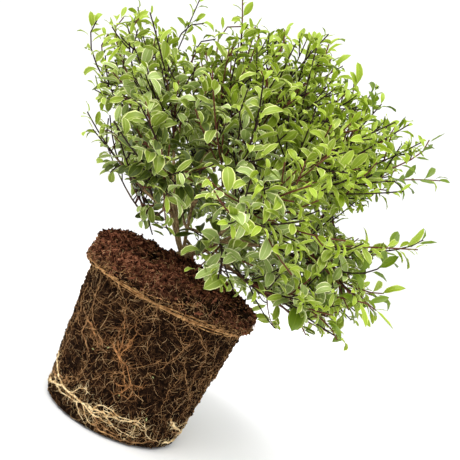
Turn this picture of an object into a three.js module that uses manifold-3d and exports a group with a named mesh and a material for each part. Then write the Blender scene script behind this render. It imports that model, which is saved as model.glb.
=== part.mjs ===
// A silver ball pittosporum knocked out of its nursery pot: a round evergreen shrub of
// small pale-edged leaves on many thin stems, standing on its own root ball.
//
// Units are millimetres and +Z is up. The origin is the centre of the flat underside of
// the root ball. +X is to the right and +Y to the back, as the plant is seen from the front.
// Angles are in degrees: an azimuth turns from +X towards +Y, an elevation is above level.

import * as THREE from "three";
import { mergeVertices } from "three/addons/utils/BufferGeometryUtils.js";
import Module from "manifold-3d";

const wasm = await Module();
wasm.setup();

// Driving dimensions of the root ball, which keeps the shape of the pot it grew in
const BASE_RADIUS = 63;
const WAIST_RADIUS = 75.5; // just under the step that the pot's rim left
const RIM_RADIUS = 81.5;
const STEP_HEIGHT = 113;
const RIM_TOP = 137;
const SOIL_TOP = 151; // the flat patch that the trunk stands on
const EDGE_ROUND = 7; // worn lower edge
const BALL_SECTORS = 32;
const SOIL_LUMP = 3.2; // how far the loose soil rises and falls

// Roots that lie on the ball
const RIM_ROOT_RADIUS = 1.6; // the band that circled under the pot's rim
const FOOT_ROOT_RADIUS = 1.9; // the pale ones that circled at the pot's foot

// Driving dimensions of the wood
const GAP = 0.4; // left between two solids that touch
const FOOT_RADIUS = 10; // root flare of the trunk
const TRUNK_RADIUS = 6.4;
const TRUNK_TOP = 164;
const STEM_ROOT_RADIUS = 2.9;
const BOUGH_ROOT_RADIUS = 1.9;
const LIMB_TIP_RADIUS = 1.25;
const TWIG_TIP_RADIUS = 0.75;
const LIMB_SIDES = 5;
const TWIG_SIDES = 3;
const SHORTEST_EDGE = 0.03; // slivers finer than this are smoothed away

// Leaves: fewer and larger than on the living plant, so that the crown is as full
const LEAF_LENGTH = 31;
const LEAF_WIDTH = 17.5;
const LEAF_THICKNESS = 1.2;
const LEAF_ROOT_DEPTH = 0.2; // a leaf's root is this far past the middle line of its twig
const LEAF_SPACING = 16.3; // along a twig
const LEAF_SPREAD = 58; // degrees between a leaf and its twig
const TIP_SPREAD = 22; // the same at the twig's tip
const GOLDEN_ANGLE = 137.508; // from one leaf to the next round the twig
const LEAF_TRIES = 3; // places round the twig where a leaf is tried

// The crown: every reach is measured from the heart, the point where the stems part, as
// pairs of an elevation seen from the front and the reach there
const HEART = new THREE.Vector3(-4, 0, 166);
const REACH_RIGHT = [[-15, 156], [-9, 178], [6, 200], [21, 228], [47, 262], [63, 248], [90, 244]];
const REACH_LEFT = [[-15, 50], [8, 80], [16, 116], [24, 148], [30, 182], [40, 254], [52, 242], [90, 244]];
const REACH_DEEP = 168; // to the front and the back
const FRONT_TAPER = 0.36; // how much the outline draws in towards the front
const OUTLINE_SLACK = 1.06; // single leaves may pass the outline by this much
const LOWEST_LEAF = 131; // beside the rim: higher than this in front and lower behind
const CENTRE_SHARE = 0.62; // where along its reach a mass has its centre
const ENTRY_SHARE = 0.3; // where along its reach a bough turns into leafy twigs
const CELL_MARGIN = 0.5; // each mass keeps this clear of the plane to its neighbour
const FAN_ANGLE = 23; // how far the shoots of one mass spread from its middle
const SHOOTS = 5; // side shoots of one mass

// Rings of foliage masses, from the low skirt to the top
const RINGS = [
  { name: "skirt", elevation: -6, azimuths: [-27, 20, 70] },
  { name: "lower", elevation: 22, azimuths: [-112, -67, -22, 23, 68, 113, 158, 203] },
  { name: "upper", elevation: 48, azimuths: [-90, -39, 13, 64, 116, 167, 219] },
  { name: "top", elevation: 74, azimuths: [-60, 30, 120, 210] },
];

// Stems that rise from the trunk: each runs on into the nearest mass of the upper ring
const STEMS = { left: 167, front_left: 219, front_right: -39, right: 13, back: 116 };
const BOUGH_START = { skirt: 0.26, lower: 0.42, upper: 0.5, top: 0.62 }; // share of the stem

// Two weak shoots that hang: where they leave their stem, and their bend and tip
const HANGING = [
  { name: "left", stem: "front_left", share: 0.42, bend: [-52, -34, 190], tip: [-46, -38, 162] },
  { name: "front", stem: "front_right", share: 0.3, bend: [24, -84, 188], tip: [32, -94, 150] },
];

const MATERIALS = {
  soil: new THREE.MeshStandardMaterial({ color: 0x46301f, roughness: 1, metalness: 0 }),
  root: new THREE.MeshStandardMaterial({ color: 0xb78f58, roughness: 0.85, metalness: 0 }),
  pale_root: new THREE.MeshStandardMaterial({ color: 0xdcc79a, roughness: 0.7, metalness: 0 }),
  bark: new THREE.MeshStandardMaterial({ color: 0x7a6347, roughness: 0.9, metalness: 0 }),
  foliage: new THREE.MeshStandardMaterial({ color: 0x93ac4e, roughness: 0.55, metalness: 0 }),
};

// Seeded chance between 0 and 1: the same keys always give the same number
function chance(...keys) {
  const mixed = keys.reduce((sum, key) => sum * 1.37 + key * 12.9898, 4.1);
  const wide = Math.sin(mixed) * 43758.5453;
  return wide - Math.floor(wide);
}

const radians = THREE.MathUtils.degToRad;

function direction(azimuth, elevation) {
  const level = Math.cos(radians(elevation));
  return new THREE.Vector3(
    level * Math.cos(radians(azimuth)),
    level * Math.sin(radians(azimuth)),
    Math.sin(radians(elevation)),
  );
}

// Height of a profile of [angle, length] pairs at an angle
function along(profile, angle) {
  const next = profile.findIndex(([at]) => at > angle);
  if (next === 0) return profile[0][1];
  if (next < 0) return profile.at(-1)[1];
  const [[a, low], [b, high]] = [profile[next - 1], profile[next]];
  return THREE.MathUtils.lerp(low, high, (angle - a) / (b - a));
}

// How far the crown reaches from the heart in a direction: its outline from the front,
// rounded off to the depth of the crown
function crownReach(azimuth, elevation) {
  const heading = direction(azimuth, elevation);
  const seenFrom = THREE.MathUtils.radToDeg(Math.atan2(heading.z, Math.abs(heading.x)));
  const outline = along(heading.x < 0 ? REACH_LEFT : REACH_RIGHT, seenFrom);
  const narrowed = outline * (1 + FRONT_TAPER * Math.min(heading.y, 0));
  return 1 / Math.hypot(Math.hypot(heading.x, heading.z) / narrowed, heading.y / REACH_DEEP);
}

// Solids

function solidOf(geometry) {
  const bare = geometry.clone();
  bare.deleteAttribute("normal");
  bare.deleteAttribute("uv");
  const merged = mergeVertices(bare, 1e-4);
  return new wasm.Manifold(
    new wasm.Mesh({
      numProp: 3,
      vertProperties: merged.attributes.position.array,
      triVerts: new Uint32Array(merged.index.array),
    }),
  );
}

function geometryOf(solid) {
  const { vertProperties, triVerts } = solid.getMesh();
  const geometry = new THREE.BufferGeometry()
    .setAttribute("position", new THREE.BufferAttribute(vertProperties, 3))
    .setIndex(new THREE.BufferAttribute(triVerts, 1));
  geometry.computeVertexNormals();
  return geometry;
}

// The largest closed body, which drops loose scraps and fills sealed hollows
function largest(solid) {
  return solid.decompose().reduce((a, b) => (b.volume() > a.volume() ? b : a));
}

const plant = new THREE.Group();
plant.name = "silver_ball_pittosporum";

function addNode(name, solid, material) {
  const clean = largest(solid.simplify(SHORTEST_EDGE));
  const mesh = new THREE.Mesh(geometryOf(clean), MATERIALS[material]);
  mesh.name = name;
  plant.add(mesh);
}

// Bends an upright cylinder along a curve, with its radius given at each share of the
// length. A margin makes it wider and longer on all sides.
function limbGeometry(curve, radiusAt, sides, steps, margin = 0) {
  const geometry = new THREE.CylinderGeometry(1, 1, 1, sides, steps);
  const frames = curve.computeFrenetFrames(steps);
  const position = geometry.attributes.position;
  for (let i = 0; i < position.count; i++) {
    const share = position.getY(i) + 0.5;
    const step = Math.round(share * steps);
    const radius = radiusAt(share) + margin;
    const past = step === 0 ? -margin : step === steps ? margin : 0;
    const point = curve
      .getPointAt(share)
      .addScaledVector(frames.tangents[step], past)
      .addScaledVector(frames.normals[step], position.getZ(i) * radius)
      .addScaledVector(frames.binormals[step], position.getX(i) * radius);
    position.setXYZ(i, point.x, point.y, point.z);
  }
  return geometry;
}

// A flattened diamond, broadest past its middle and arched, from its root along its length
function leafCorners(root, lengthwise, face, length) {
  const sideways = new THREE.Vector3().crossVectors(lengthwise, face);
  const at = (forward, side, lift) =>
    root
      .clone()
      .addScaledVector(lengthwise, forward * length)
      .addScaledVector(sideways, (side * length * LEAF_WIDTH) / LEAF_LENGTH / 2)
      .addScaledVector(face, lift);
  const arch = 0.07 * length;
  return {
    root: at(-LEAF_ROOT_DEPTH / length, 0, 0),
    tip: at(1, 0, -arch),
    left: at(0.56, -1, arch * 0.4),
    right: at(0.56, 1, arch * 0.4),
    top: at(0.42, 0, LEAF_THICKNESS / 2),
    bottom: at(0.42, 0, -LEAF_THICKNESS / 2),
  };
}

function leafSolid(corners) {
  // OctahedronGeometry has its corners on the axes: x is sideways, y lengthwise, z the face
  const geometry = new THREE.OctahedronGeometry(1, 0);
  const position = geometry.attributes.position;
  for (let i = 0; i < position.count; i++) {
    const [x, y, z] = [position.getX(i), position.getY(i), position.getZ(i)];
    const corner =
      x > 0.5 ? corners.right
      : x < -0.5 ? corners.left
      : y > 0.5 ? corners.tip
      : y < -0.5 ? corners.root
      : z > 0.5 ? corners.top
      : corners.bottom;
    position.setXYZ(i, corner.x, corner.y, corner.z);
  }
  return solidOf(geometry);
}

// Root ball

// Rings of the ball's outline from the middle of the underside to the soil round the trunk.
// Rough says how much of the soil's lumps a ring shows.
function ballRings() {
  const slope = (WAIST_RADIUS - BASE_RADIUS) / (STEP_HEIGHT - EDGE_ROUND);
  const side = (z) => ({ r: BASE_RADIUS + slope * (z - EDGE_ROUND), z, rough: 0 });
  const soil = (share, rough) => ({
    r: RIM_RADIUS * (1 - share),
    z: RIM_TOP + (SOIL_TOP - RIM_TOP) * Math.sin((share * Math.PI) / 2) ** 0.8,
    rough,
  });
  return [
    { r: BASE_RADIUS - EDGE_ROUND, z: 0, rough: 0 },
    { r: BASE_RADIUS - EDGE_ROUND * 0.3, z: EDGE_ROUND * 0.3, rough: 0 },
    side(EDGE_ROUND),
    side(STEP_HEIGHT * 0.5),
    side(STEP_HEIGHT),
    { r: RIM_RADIUS - 1, z: STEP_HEIGHT + 3, rough: 0 },
    { r: RIM_RADIUS, z: STEP_HEIGHT + 6, rough: 0 },
    { r: RIM_RADIUS, z: RIM_TOP - 3, rough: 0.3 },
    soil(0.06, 1),
    soil(0.25, 1.2),
    soil(0.5, 1.2),
    soil(0.72, 0.8),
    { r: FOOT_RADIUS + 5, z: SOIL_TOP, rough: 0 },
  ];
}

function rootBall() {
  const rings = ballRings();
  const profile = [
    new THREE.Vector2(0, rings[0].z),
    ...rings.map(({ r, z }) => new THREE.Vector2(r, z)),
    new THREE.Vector2(0, SOIL_TOP),
  ];
  // LatheGeometry turns about Y, so it is stood up on Z afterwards
  const geometry = new THREE.LatheGeometry(profile, BALL_SECTORS);
  geometry.rotateX(Math.PI / 2);
  const position = geometry.attributes.position;
  const rows = profile.length;
  for (let i = 0; i < position.count; i++) {
    const ring = rings[(i % rows) - 1];
    if (!ring || !ring.rough) continue;
    const sector = Math.floor(i / rows) % BALL_SECTORS;
    const lump = (chance(sector, i % rows, 7) - 0.45) * 2 * SOIL_LUMP * ring.rough;
    position.setZ(i, position.getZ(i) + lump);
  }
  return solidOf(geometry);
}

// A root that circles the ball, from one azimuth to another, thinning towards both ends
function circlingRoot(radius, height, thickness, from, to, steps) {
  const points = [];
  for (let i = 0; i <= steps; i++) {
    const azimuth = radians(THREE.MathUtils.lerp(from, to, i / steps));
    points.push(new THREE.Vector3(radius * Math.cos(azimuth), radius * Math.sin(azimuth), height));
  }
  const curve = new THREE.CatmullRomCurve3(points);
  const radiusAt = (share) => thickness * (0.55 + 0.45 * Math.sin(share * Math.PI));
  return solidOf(limbGeometry(curve, radiusAt, 5, steps));
}

addNode("root_ball", rootBall(), "soil");
addNode(
  "rim_root",
  circlingRoot(WAIST_RADIUS + RIM_ROOT_RADIUS + 0.9, STEP_HEIGHT - 1.4, RIM_ROOT_RADIUS, 100, 452, 34),
  "root",
);
addNode(
  "foot_root",
  circlingRoot(BASE_RADIUS + FOOT_ROOT_RADIUS + 0.9, 9, FOOT_ROOT_RADIUS, 185, 300, 14),
  "pale_root",
);

// Wood

// Every limb that stands, kept with its line and radii, so that the next one is cut clear
// of it and no leaf touches it
const limbs = [];

function addLimb(name, curve, radiusAt, steps) {
  const clear = limbs.map((limb) => limb.wider);
  const bare = solidOf(limbGeometry(curve, radiusAt, LIMB_SIDES, steps));
  const solid = clear.length ? bare.subtract(wasm.Manifold.union(clear)) : bare;
  const wider = solidOf(limbGeometry(curve, radiusAt, LIMB_SIDES, steps, GAP));
  limbs.push({ name, curve, radiusAt, wider, solid });
  addNode(name, solid, "bark");
  return curve;
}

const TRUNK_FOOT = new THREE.Vector3(HEART.x, HEART.y, SOIL_TOP + GAP);
const trunkCurve = new THREE.QuadraticBezierCurve3(
  TRUNK_FOOT,
  new THREE.Vector3(HEART.x, HEART.y, THREE.MathUtils.lerp(TRUNK_FOOT.z, TRUNK_TOP, 0.5)),
  new THREE.Vector3(HEART.x - 1, HEART.y, TRUNK_TOP),
);
const trunkRadius = (share) =>
  TRUNK_RADIUS + (FOOT_RADIUS - TRUNK_RADIUS) * (1 - share) ** 3 - 1.6 * share ** 4;
limbs.push({
  name: "trunk",
  curve: trunkCurve,
  radiusAt: trunkRadius,
  wider: solidOf(limbGeometry(trunkCurve, trunkRadius, 10, 4, GAP)),
});
addNode("trunk", solidOf(limbGeometry(trunkCurve, trunkRadius, 10, 4)), "bark");

// Masses: where each has its middle, its furthest tip and its centre

const masses = RINGS.flatMap((ring) =>
  ring.azimuths.map((azimuth, i) => {
    const heading = direction(azimuth, ring.elevation);
    const reach = crownReach(azimuth, ring.elevation);
    return {
      name: `foliage_${ring.name}_${i + 1}`,
      ring: ring.name,
      azimuth,
      heading,
      reach,
      key: ring.elevation + i * 17,
      tip: HEART.clone().addScaledVector(heading, reach),
      centre: HEART.clone().addScaledVector(heading, reach * CENTRE_SHARE),
    };
  }),
);
const crownMasses = [...masses];
for (const [i, { name, stem, share, bend, tip }] of HANGING.entries()) {
  masses.push({
    name: `foliage_hanging_${name}`,
    ring: "hanging",
    stem,
    share,
    key: 300 + 40 * i,
    bend: new THREE.Vector3(...bend),
    tip: new THREE.Vector3(...tip),
    centre: new THREE.Vector3(...bend).lerp(new THREE.Vector3(...tip), 0.5),
  });
}

// How far a point is inside a mass's own space, the cell of points nearest to its centre
function roomInside(mass, point) {
  let room = Infinity;
  for (const other of masses) {
    if (other === mass) continue;
    const across = other.centre.clone().sub(mass.centre);
    const middle = mass.centre.clone().add(other.centre).multiplyScalar(0.5);
    room = Math.min(room, -point.clone().sub(middle).dot(across.normalize()));
  }
  return room;
}

// Whether a point is inside the crown's outline and clear of the root ball
function inCrown(point) {
  const out = point.clone().sub(HEART);
  const azimuth = THREE.MathUtils.radToDeg(Math.atan2(out.y, out.x));
  const elevation = THREE.MathUtils.radToDeg(Math.asin(out.z / Math.max(out.length(), 1)));
  if (out.length() > crownReach(azimuth, elevation) * OUTLINE_SLACK) return false;
  const fromAxis = Math.hypot(point.x, point.y);
  return point.z > (fromAxis > RIM_RADIUS + 5 ? LOWEST_LEAF - 0.1 * point.y : SOIL_TOP + 8);
}

function limbClearance(point) {
  let clearance = Infinity;
  for (const limb of limbs) {
    for (let i = 0; i <= 16; i++) {
      const nearest = limb.curve.getPointAt(i / 16);
      const gap = nearest.distanceTo(point) - limb.radiusAt(i / 16);
      clearance = Math.min(clearance, gap);
    }
  }
  return clearance;
}

// The point where a mass begins, on the line from the heart, well inside its own cell
function entryPoint(mass) {
  for (let share = ENTRY_SHARE; share < CENTRE_SHARE; share += 0.02) {
    const point = HEART.clone().addScaledVector(mass.heading, mass.reach * share);
    if (roomInside(mass, point) > 3) return point;
  }
  return mass.centre.clone();
}

// A limb's line: it leaves outwards and arches up to its end
function archedCurve(start, end, rise) {
  const middle = start.clone().add(end).multiplyScalar(0.5);
  const out = end.clone().sub(start);
  middle.z -= rise * Math.hypot(out.x, out.y);
  middle.addScaledVector(new THREE.Vector3(out.x, out.y, 0), rise * 0.5);
  return new THREE.QuadraticBezierCurve3(start, middle, end);
}

const turnBetween = (a, b) => Math.abs(((a - b + 540) % 360) - 180);

const taper = (root, tip) => (share) => THREE.MathUtils.lerp(root, tip, share ** 0.8);

const stems = {};
for (const [name, azimuth] of Object.entries(STEMS)) {
  const mass = masses
    .filter(({ ring }) => ring === "upper")
    .reduce((a, b) => (turnBetween(b.azimuth, azimuth) < turnBetween(a.azimuth, azimuth) ? b : a));
  mass.entry = entryPoint(mass);
  const start = HEART.clone()
    .addScaledVector(direction(azimuth, 0), TRUNK_RADIUS * 0.45)
    .setZ(TRUNK_TOP - 6);
  const curve = archedCurve(start, mass.entry, 0.1);
  mass.limb = addLimb(`stem_${name}`, curve, taper(STEM_ROOT_RADIUS, LIMB_TIP_RADIUS), 6);
  stems[name] = { azimuth, curve };
}

for (const mass of crownMasses.filter(({ limb }) => !limb)) {
  mass.entry = entryPoint(mass);
  const stem = Object.values(stems).reduce((a, b) =>
    turnBetween(b.azimuth, mass.azimuth) < turnBetween(a.azimuth, mass.azimuth) ? b : a,
  );
  const share = BOUGH_START[mass.ring] + 0.1 * (chance(mass.key, 3) - 0.5);
  const curve = archedCurve(stem.curve.getPointAt(share), mass.entry, mass.ring === "top" ? 0.15 : 0.06);
  const name = mass.name.replace("foliage", "bough");
  mass.limb = addLimb(name, curve, taper(BOUGH_ROOT_RADIUS, LIMB_TIP_RADIUS), 4);
}

// Foliage

// The middle line of a twig is the chords between its steps, not the curve itself
function onTwig(twig, share) {
  const step = Math.min(Math.floor(share * twig.steps), twig.steps - 1);
  const from = twig.curve.getPointAt(step / twig.steps);
  return from.lerp(twig.curve.getPointAt((step + 1) / twig.steps), share * twig.steps - step);
}

// A leaf leaves its twig at a steady angle, one golden angle round from the last, and its
// upper face looks along the twig
function leafOn(twig, share, index, key, length) {
  const forward = twig.curve.getTangentAt(share);
  const level = new THREE.Vector3(0, 0, 1).cross(forward);
  if (level.lengthSq() < 1e-4) level.set(1, 0, 0);
  level.normalize();
  const outward = level.applyAxisAngle(forward, radians(index * GOLDEN_ANGLE + 360 * chance(key, 5)));
  const opening = THREE.MathUtils.lerp(LEAF_SPREAD, TIP_SPREAD, share ** 4);
  const spread = radians(opening + 22 * (chance(key, index, 6) - 0.5));
  const lengthwise = outward
    .clone()
    .multiplyScalar(Math.sin(spread))
    .addScaledVector(forward, Math.cos(spread));
  const face = forward.clone().addScaledVector(lengthwise, -forward.dot(lengthwise)).normalize();
  face.applyAxisAngle(lengthwise, radians(50 * (chance(key, index, 8) - 0.5)));
  return leafCorners(onTwig(twig, share), lengthwise, face, length);
}

function leafFits(corners, mass) {
  const { root, tip, left, right, top } = corners;
  const samples = [tip, left, right, top, root.clone().lerp(top, 0.5), top.clone().lerp(tip, 0.5)];
  return samples.every(
    (point) => mass.room(point) > CELL_MARGIN && inCrown(point) && limbClearance(point) > 1.5,
  );
}

// Leaves from a twig's tip inwards, closer together and smaller at the tip. One that has no
// room or would cut through another leaf is turned round the twig, and at last left out.
function addLeaves(twig, mass) {
  const { key, leafyFrom } = twig;
  const length = twig.curve.getLength();
  for (let at = 0.97 * length, index = 0; at > leafyFrom * length; index++) {
    const share = at / length;
    const size = LEAF_LENGTH * (0.86 + 0.2 * chance(key, index, 9)) * (1 - 0.2 * share);
    at -= LEAF_SPACING * (1.1 - 0.35 * share);
    for (let turn = 0; turn < LEAF_TRIES; turn++) {
      const corners = leafOn(twig, share, index + turn, key, size);
      if (!leafFits(corners, mass)) continue;
      const leaf = leafSolid(corners);
      const others = [...mass.leaves, ...mass.twigs.filter((t) => t !== twig).map((t) => t.solid)];
      if (others.some((other) => !other.intersect(leaf).isEmpty())) continue;
      mass.leaves.push(leaf);
      break;
    }
  }
}

// The tip of one shoot: fanned round the mass's middle, drawn in until it has room
function shootTip(mass, j, count) {
  const polar = radians(FAN_ANGLE * Math.sqrt((j + 0.6) / count));
  const round = radians(j * GOLDEN_ANGLE + 360 * chance(mass.key, 11));
  const across = new THREE.Vector3(0, 0, 1).cross(mass.heading).normalize();
  const heading = mass.heading
    .clone()
    .applyAxisAngle(across, polar)
    .applyAxisAngle(mass.heading, round);
  const azimuth = THREE.MathUtils.radToDeg(Math.atan2(heading.y, heading.x));
  const elevation = THREE.MathUtils.radToDeg(Math.asin(heading.z));
  const reach = crownReach(azimuth, elevation) * (0.92 + 0.12 * chance(mass.key, j, 12));
  for (let share = 1; share > 0.4; share -= 0.04) {
    const tip = HEART.clone().addScaledVector(heading, reach * share);
    if (mass.room(tip) > 5 && inCrown(tip)) return tip;
  }
  return null;
}

// A twig bends out from its parent and then up to its tip
function twigCurve(start, tip) {
  const middle = start.clone().add(tip).multiplyScalar(0.5);
  const out = tip.clone().sub(start);
  middle.z -= 0.09 * out.length();
  return new THREE.QuadraticBezierCurve3(start, middle, tip);
}

function twigAlong(curve, root, steps) {
  const radiusAt = taper(root, TWIG_TIP_RADIUS);
  return { curve, steps, radiusAt, solid: solidOf(limbGeometry(curve, radiusAt, TWIG_SIDES, steps)) };
}

// A hanging mass is one bare shoot that leaves its stem sideways and droops
function growHanging(mass) {
  const start = stems[mass.stem].curve.getPointAt(mass.share);
  const curve = new THREE.QuadraticBezierCurve3(start, mass.bend, mass.tip);
  mass.twigs.push({ ...twigAlong(curve, LIMB_TIP_RADIUS, 5), leafyFrom: 0.35, key: mass.key });
}

function growMass(mass) {
  const ahead = mass.limb.getTangentAt(1);
  const start = mass.entry.clone().addScaledVector(ahead, GAP + 0.05);
  const bend = start.clone().addScaledVector(ahead, 0.4 * start.distanceTo(mass.tip));
  const curve = new THREE.QuadraticBezierCurve3(start, bend, mass.tip);
  const leader = twigAlong(curve, LIMB_TIP_RADIUS, 4);
  mass.twigs.push({ ...leader, leafyFrom: 0.12, key: mass.key });
  for (let j = 0; j < SHOOTS; j++) {
    const tip = shootTip(mass, j, SHOOTS);
    if (!tip) continue;
    const share = 0.08 + (0.4 * j) / SHOOTS;
    const shoot = twigAlong(twigCurve(onTwig(leader, share), tip), 0.75 * leader.radiusAt(share), 2);
    mass.twigs.push({ ...shoot, leafyFrom: 0.16, key: mass.key + 31 * (j + 1) });
  }
}

for (const mass of masses) {
  mass.room = (point) => roomInside(mass, point);
  mass.twigs = [];
  mass.leaves = [];
  if (mass.ring === "hanging") growHanging(mass);
  else growMass(mass);
  for (const twig of mass.twigs) addLeaves(twig, mass);
  let solid = wasm.Manifold.union([...mass.twigs.map((twig) => twig.solid), ...mass.leaves]);
  for (const { wider } of limbs) {
    if (!solid.intersect(wider).isEmpty()) solid = solid.subtract(wider);
  }
  addNode(mass.name, solid, "foliage");
}

export default plant;
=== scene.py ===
# %% [markdown]
# # A silver ball pittosporum on its root ball
# The shrub is a round crown of small pale-edged leaves, about 400 mm wide. It stands out of
# its pot, on a bare root ball that keeps the pot's shape. The frame holds its solids at
# their real size. This lesson gives them their looks: peat and roots, bark, thin twigs, and
# several thousand leaves that grow by the same rule as the solids' foliage. Everything is in
# metres, in the frame's own place, with +Z up and -Y to the front.

import math

import bmesh
import bpy
import numpy as np
from mathutils import Matrix, Vector
from mathutils.bvhtree import BVHTree


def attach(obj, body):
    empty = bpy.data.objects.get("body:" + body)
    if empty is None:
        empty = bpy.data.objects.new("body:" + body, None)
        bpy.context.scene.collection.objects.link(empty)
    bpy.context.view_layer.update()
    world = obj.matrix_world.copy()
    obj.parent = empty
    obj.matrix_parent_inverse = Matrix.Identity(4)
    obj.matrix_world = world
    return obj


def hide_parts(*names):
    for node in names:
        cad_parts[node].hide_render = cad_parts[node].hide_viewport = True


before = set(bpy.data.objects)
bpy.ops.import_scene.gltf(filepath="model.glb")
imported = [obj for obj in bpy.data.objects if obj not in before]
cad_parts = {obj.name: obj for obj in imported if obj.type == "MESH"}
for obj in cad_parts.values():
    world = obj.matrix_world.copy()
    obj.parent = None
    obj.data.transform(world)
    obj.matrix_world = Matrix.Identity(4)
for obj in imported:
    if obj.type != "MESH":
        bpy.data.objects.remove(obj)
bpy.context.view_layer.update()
MM = 0.001


# %% [markdown]
# ## Chance that never changes
# A plant is irregular, but each run has to grow the same one. This little function turns a
# few numbers, the keys, into a number between 0 and 1 that looks like luck and is always the
# same for the same keys. The last key only tells one draw from the next. The solids were
# grown with it too, so the twigs here can start out along the very same lines.


# %% Seeded chance and a few turns in space
def chance(*keys):
    """The odd numbers in it have no meaning: they only mix the keys well"""
    mixed = 4.1
    for key in keys:
        mixed = mixed * 1.37 + key * 12.9898
    wide = math.sin(mixed) * 43758.5453
    return wide - math.floor(wide)


def sway(width, *keys):
    """Up to half of the width to either side, by chance"""
    return width * (chance(*keys) - 0.5)


UP = np.array((0.0, 0.0, 1.0))


def unit(vector):
    return vector / max(np.linalg.norm(vector), 1e-12)


def turned(vector, axis, degrees):
    """The vector turned about a unit axis"""
    angle = math.radians(degrees)
    across = np.cross(axis, vector)
    lengthwise = axis * np.dot(axis, vector)
    return lengthwise + (vector - lengthwise) * math.cos(angle) + across * math.sin(angle)


def leaning(upright, outward, degrees):
    """The upright direction tipped over towards the outward one"""
    angle = math.radians(degrees)
    return outward * math.sin(angle) + upright * math.cos(angle)


def circled(out, azimuth):
    """x and y of a point this far out at an azimuth in degrees"""
    angle = math.radians(azimuth)
    return out * math.cos(angle), out * math.sin(angle)


def direction(azimuth, elevation):
    angle = math.radians(elevation)
    return np.array((*circled(math.cos(angle), azimuth), math.sin(angle)))


print("chance of 1, 2 and 3:", [round(chance(key), 3) for key in (1, 2, 3)])

# %% [markdown]
# ## Shader maths as expressions
# A material is a small machine of nodes. Written out node by node it is hard to read, so
# this class holds one output of a node and lets + and * add the Math nodes, and one method,
# node(), adds any other node with its settings and inputs. Colours are picked as they look
# on a screen, in steps of 0 to 255, and a shader wants them as amounts of light, so paint()
# converts them.


# %% Colours, and one output of a node
def paint(red, green, blue):
    def light(step):
        share = step / 255
        return share / 12.92 if share <= 0.04045 else ((share + 0.055) / 1.055) ** 2.4

    return (light(red), light(green), light(blue), 1.0)


class Wire:
    def __init__(self, socket):
        self.socket = socket

    def node(self, kind, settings, inputs, output=0):
        """Another node of the same material: its settings are set first, then its inputs"""
        made = self.socket.id_data.nodes.new(kind)
        for name, value in settings.items():
            setattr(made, name, value)
        for name, value in inputs.items():
            self.feed(made.inputs[name], value)
        return Wire(made.outputs[output])

    def feed(self, socket, value):
        if isinstance(value, Wire):
            self.socket.id_data.links.new(value.socket, socket)
        else:
            socket.default_value = value

    def maths(self, operation, first, second):
        return self.node("ShaderNodeMath", {"operation": operation}, {0: first, 1: second})

    def __add__(self, other):
        return self.maths("ADD", self, other)

    def __radd__(self, other):
        return self.maths("ADD", other, self)

    def __mul__(self, other):
        return self.maths("MULTIPLY", self, other)

    def __rmul__(self, other):
        return self.maths("MULTIPLY", other, self)

    def noise(self, size, detail=3.0, roughness=0.55):
        """Soft noise on these coordinates, with lumps of about this size in metres"""
        inputs = {"Vector": self, "Scale": 1 / size, "Detail": detail, "Roughness": roughness}
        return self.node("ShaderNodeTexNoise", {}, inputs)

    def ramp(self, *stops):
        """Colours blended by this value, as pairs of a place from 0 to 1 and a colour"""
        made = self.node("ShaderNodeValToRGB", {}, {"Fac": self})
        marks = made.socket.node.color_ramp.elements
        while len(marks) < len(stops):
            marks.new(0.5)
        for mark, (place, colour) in zip(marks, stops):
            mark.position = place
            mark.color = paint(*colour)
        return made

    def blend(self, first, second):
        """From the first colour at 0 to the second at 1"""
        colours = {0: self, 6: first, 7: second}  # numbers, as a Mix node has many sockets of one name
        return self.node("ShaderNodeMix", {"data_type": "RGBA"}, colours, output=2)

    def within(self, low, high, **settings):
        """0 up to the low value and 1 from the high one on"""
        inputs = {"Value": self, "From Min": low, "From Max": high}
        return self.node("ShaderNodeMapRange", settings, inputs)

    def relief(self, strength, depth):
        """The slopes of this value, taken as a height, for a shader's Normal"""
        return self.node("ShaderNodeBump", {}, {"Strength": strength, "Distance": depth, "Height": self})


print("mid grey 128 is", round(paint(128, 128, 128)[0], 3), "of full light")

# %% [markdown]
# ## Finishes
# A plain finish is one Principled shader with a base colour, a roughness and a gloss. The
# leaves, twigs and fibres are so small and so many that a pattern on each would be lost:
# several plain finishes are dealt out among them instead. Peat, roots and bark are seen
# larger, so theirs are patterned.


# %% Plain and patterned finishes
def new_finish(name, roughness, gloss):
    """A finish and its shader, as rough and as glossy all over"""
    finish = bpy.data.materials.new(name)
    finish.use_nodes = True
    shader = finish.node_tree.nodes["Principled BSDF"]
    shader.inputs["Roughness"].default_value = roughness
    shader.inputs["Specular IOR Level"].default_value = gloss
    return finish, shader


def plain_finish(name, colour, roughness, gloss):
    finish, shader = new_finish(name, roughness, gloss)
    shader.inputs["Base Color"].default_value = paint(*colour)
    return finish


def patterned_finish(name, roughness, gloss, coordinates="Object"):
    """A finish to be given a pattern: returns it, its shader and the wire of its coordinates"""
    finish, shader = new_finish(name, roughness, gloss)
    places = finish.node_tree.nodes.new("ShaderNodeTexCoord").outputs[coordinates]
    return finish, shader, Wire(places)


print("finishes made so far:", len(bpy.data.materials))

# %% [markdown]
# ## Floor, light and camera
# The plant was shown against plain white in soft, even daylight, a little stronger from the
# upper left. A wide pale floor under a white sky does that: the sky fills every shadow, and
# a sun with a very wide disc gives the leaves their gloss and their soft shaded sides. The
# camera stands close and is tipped sideways by 26 degrees, so the upright plant leans over
# in the picture.

# %% Floor
FLOOR_SIZE = 12.0
FLOOR_WHITE = 0.9  # as an amount of light

paper, paper_shader = new_finish("white_paper", 0.9, 0.1)
paper_shader.inputs["Base Color"].default_value = (FLOOR_WHITE, FLOOR_WHITE, FLOOR_WHITE, 1)
bpy.ops.mesh.primitive_plane_add(size=FLOOR_SIZE, location=(0, 0, 0))
floor = bpy.context.object
floor.name = "floor"
floor.data.materials.append(paper)
print("floor of", FLOOR_SIZE, "m")

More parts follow.
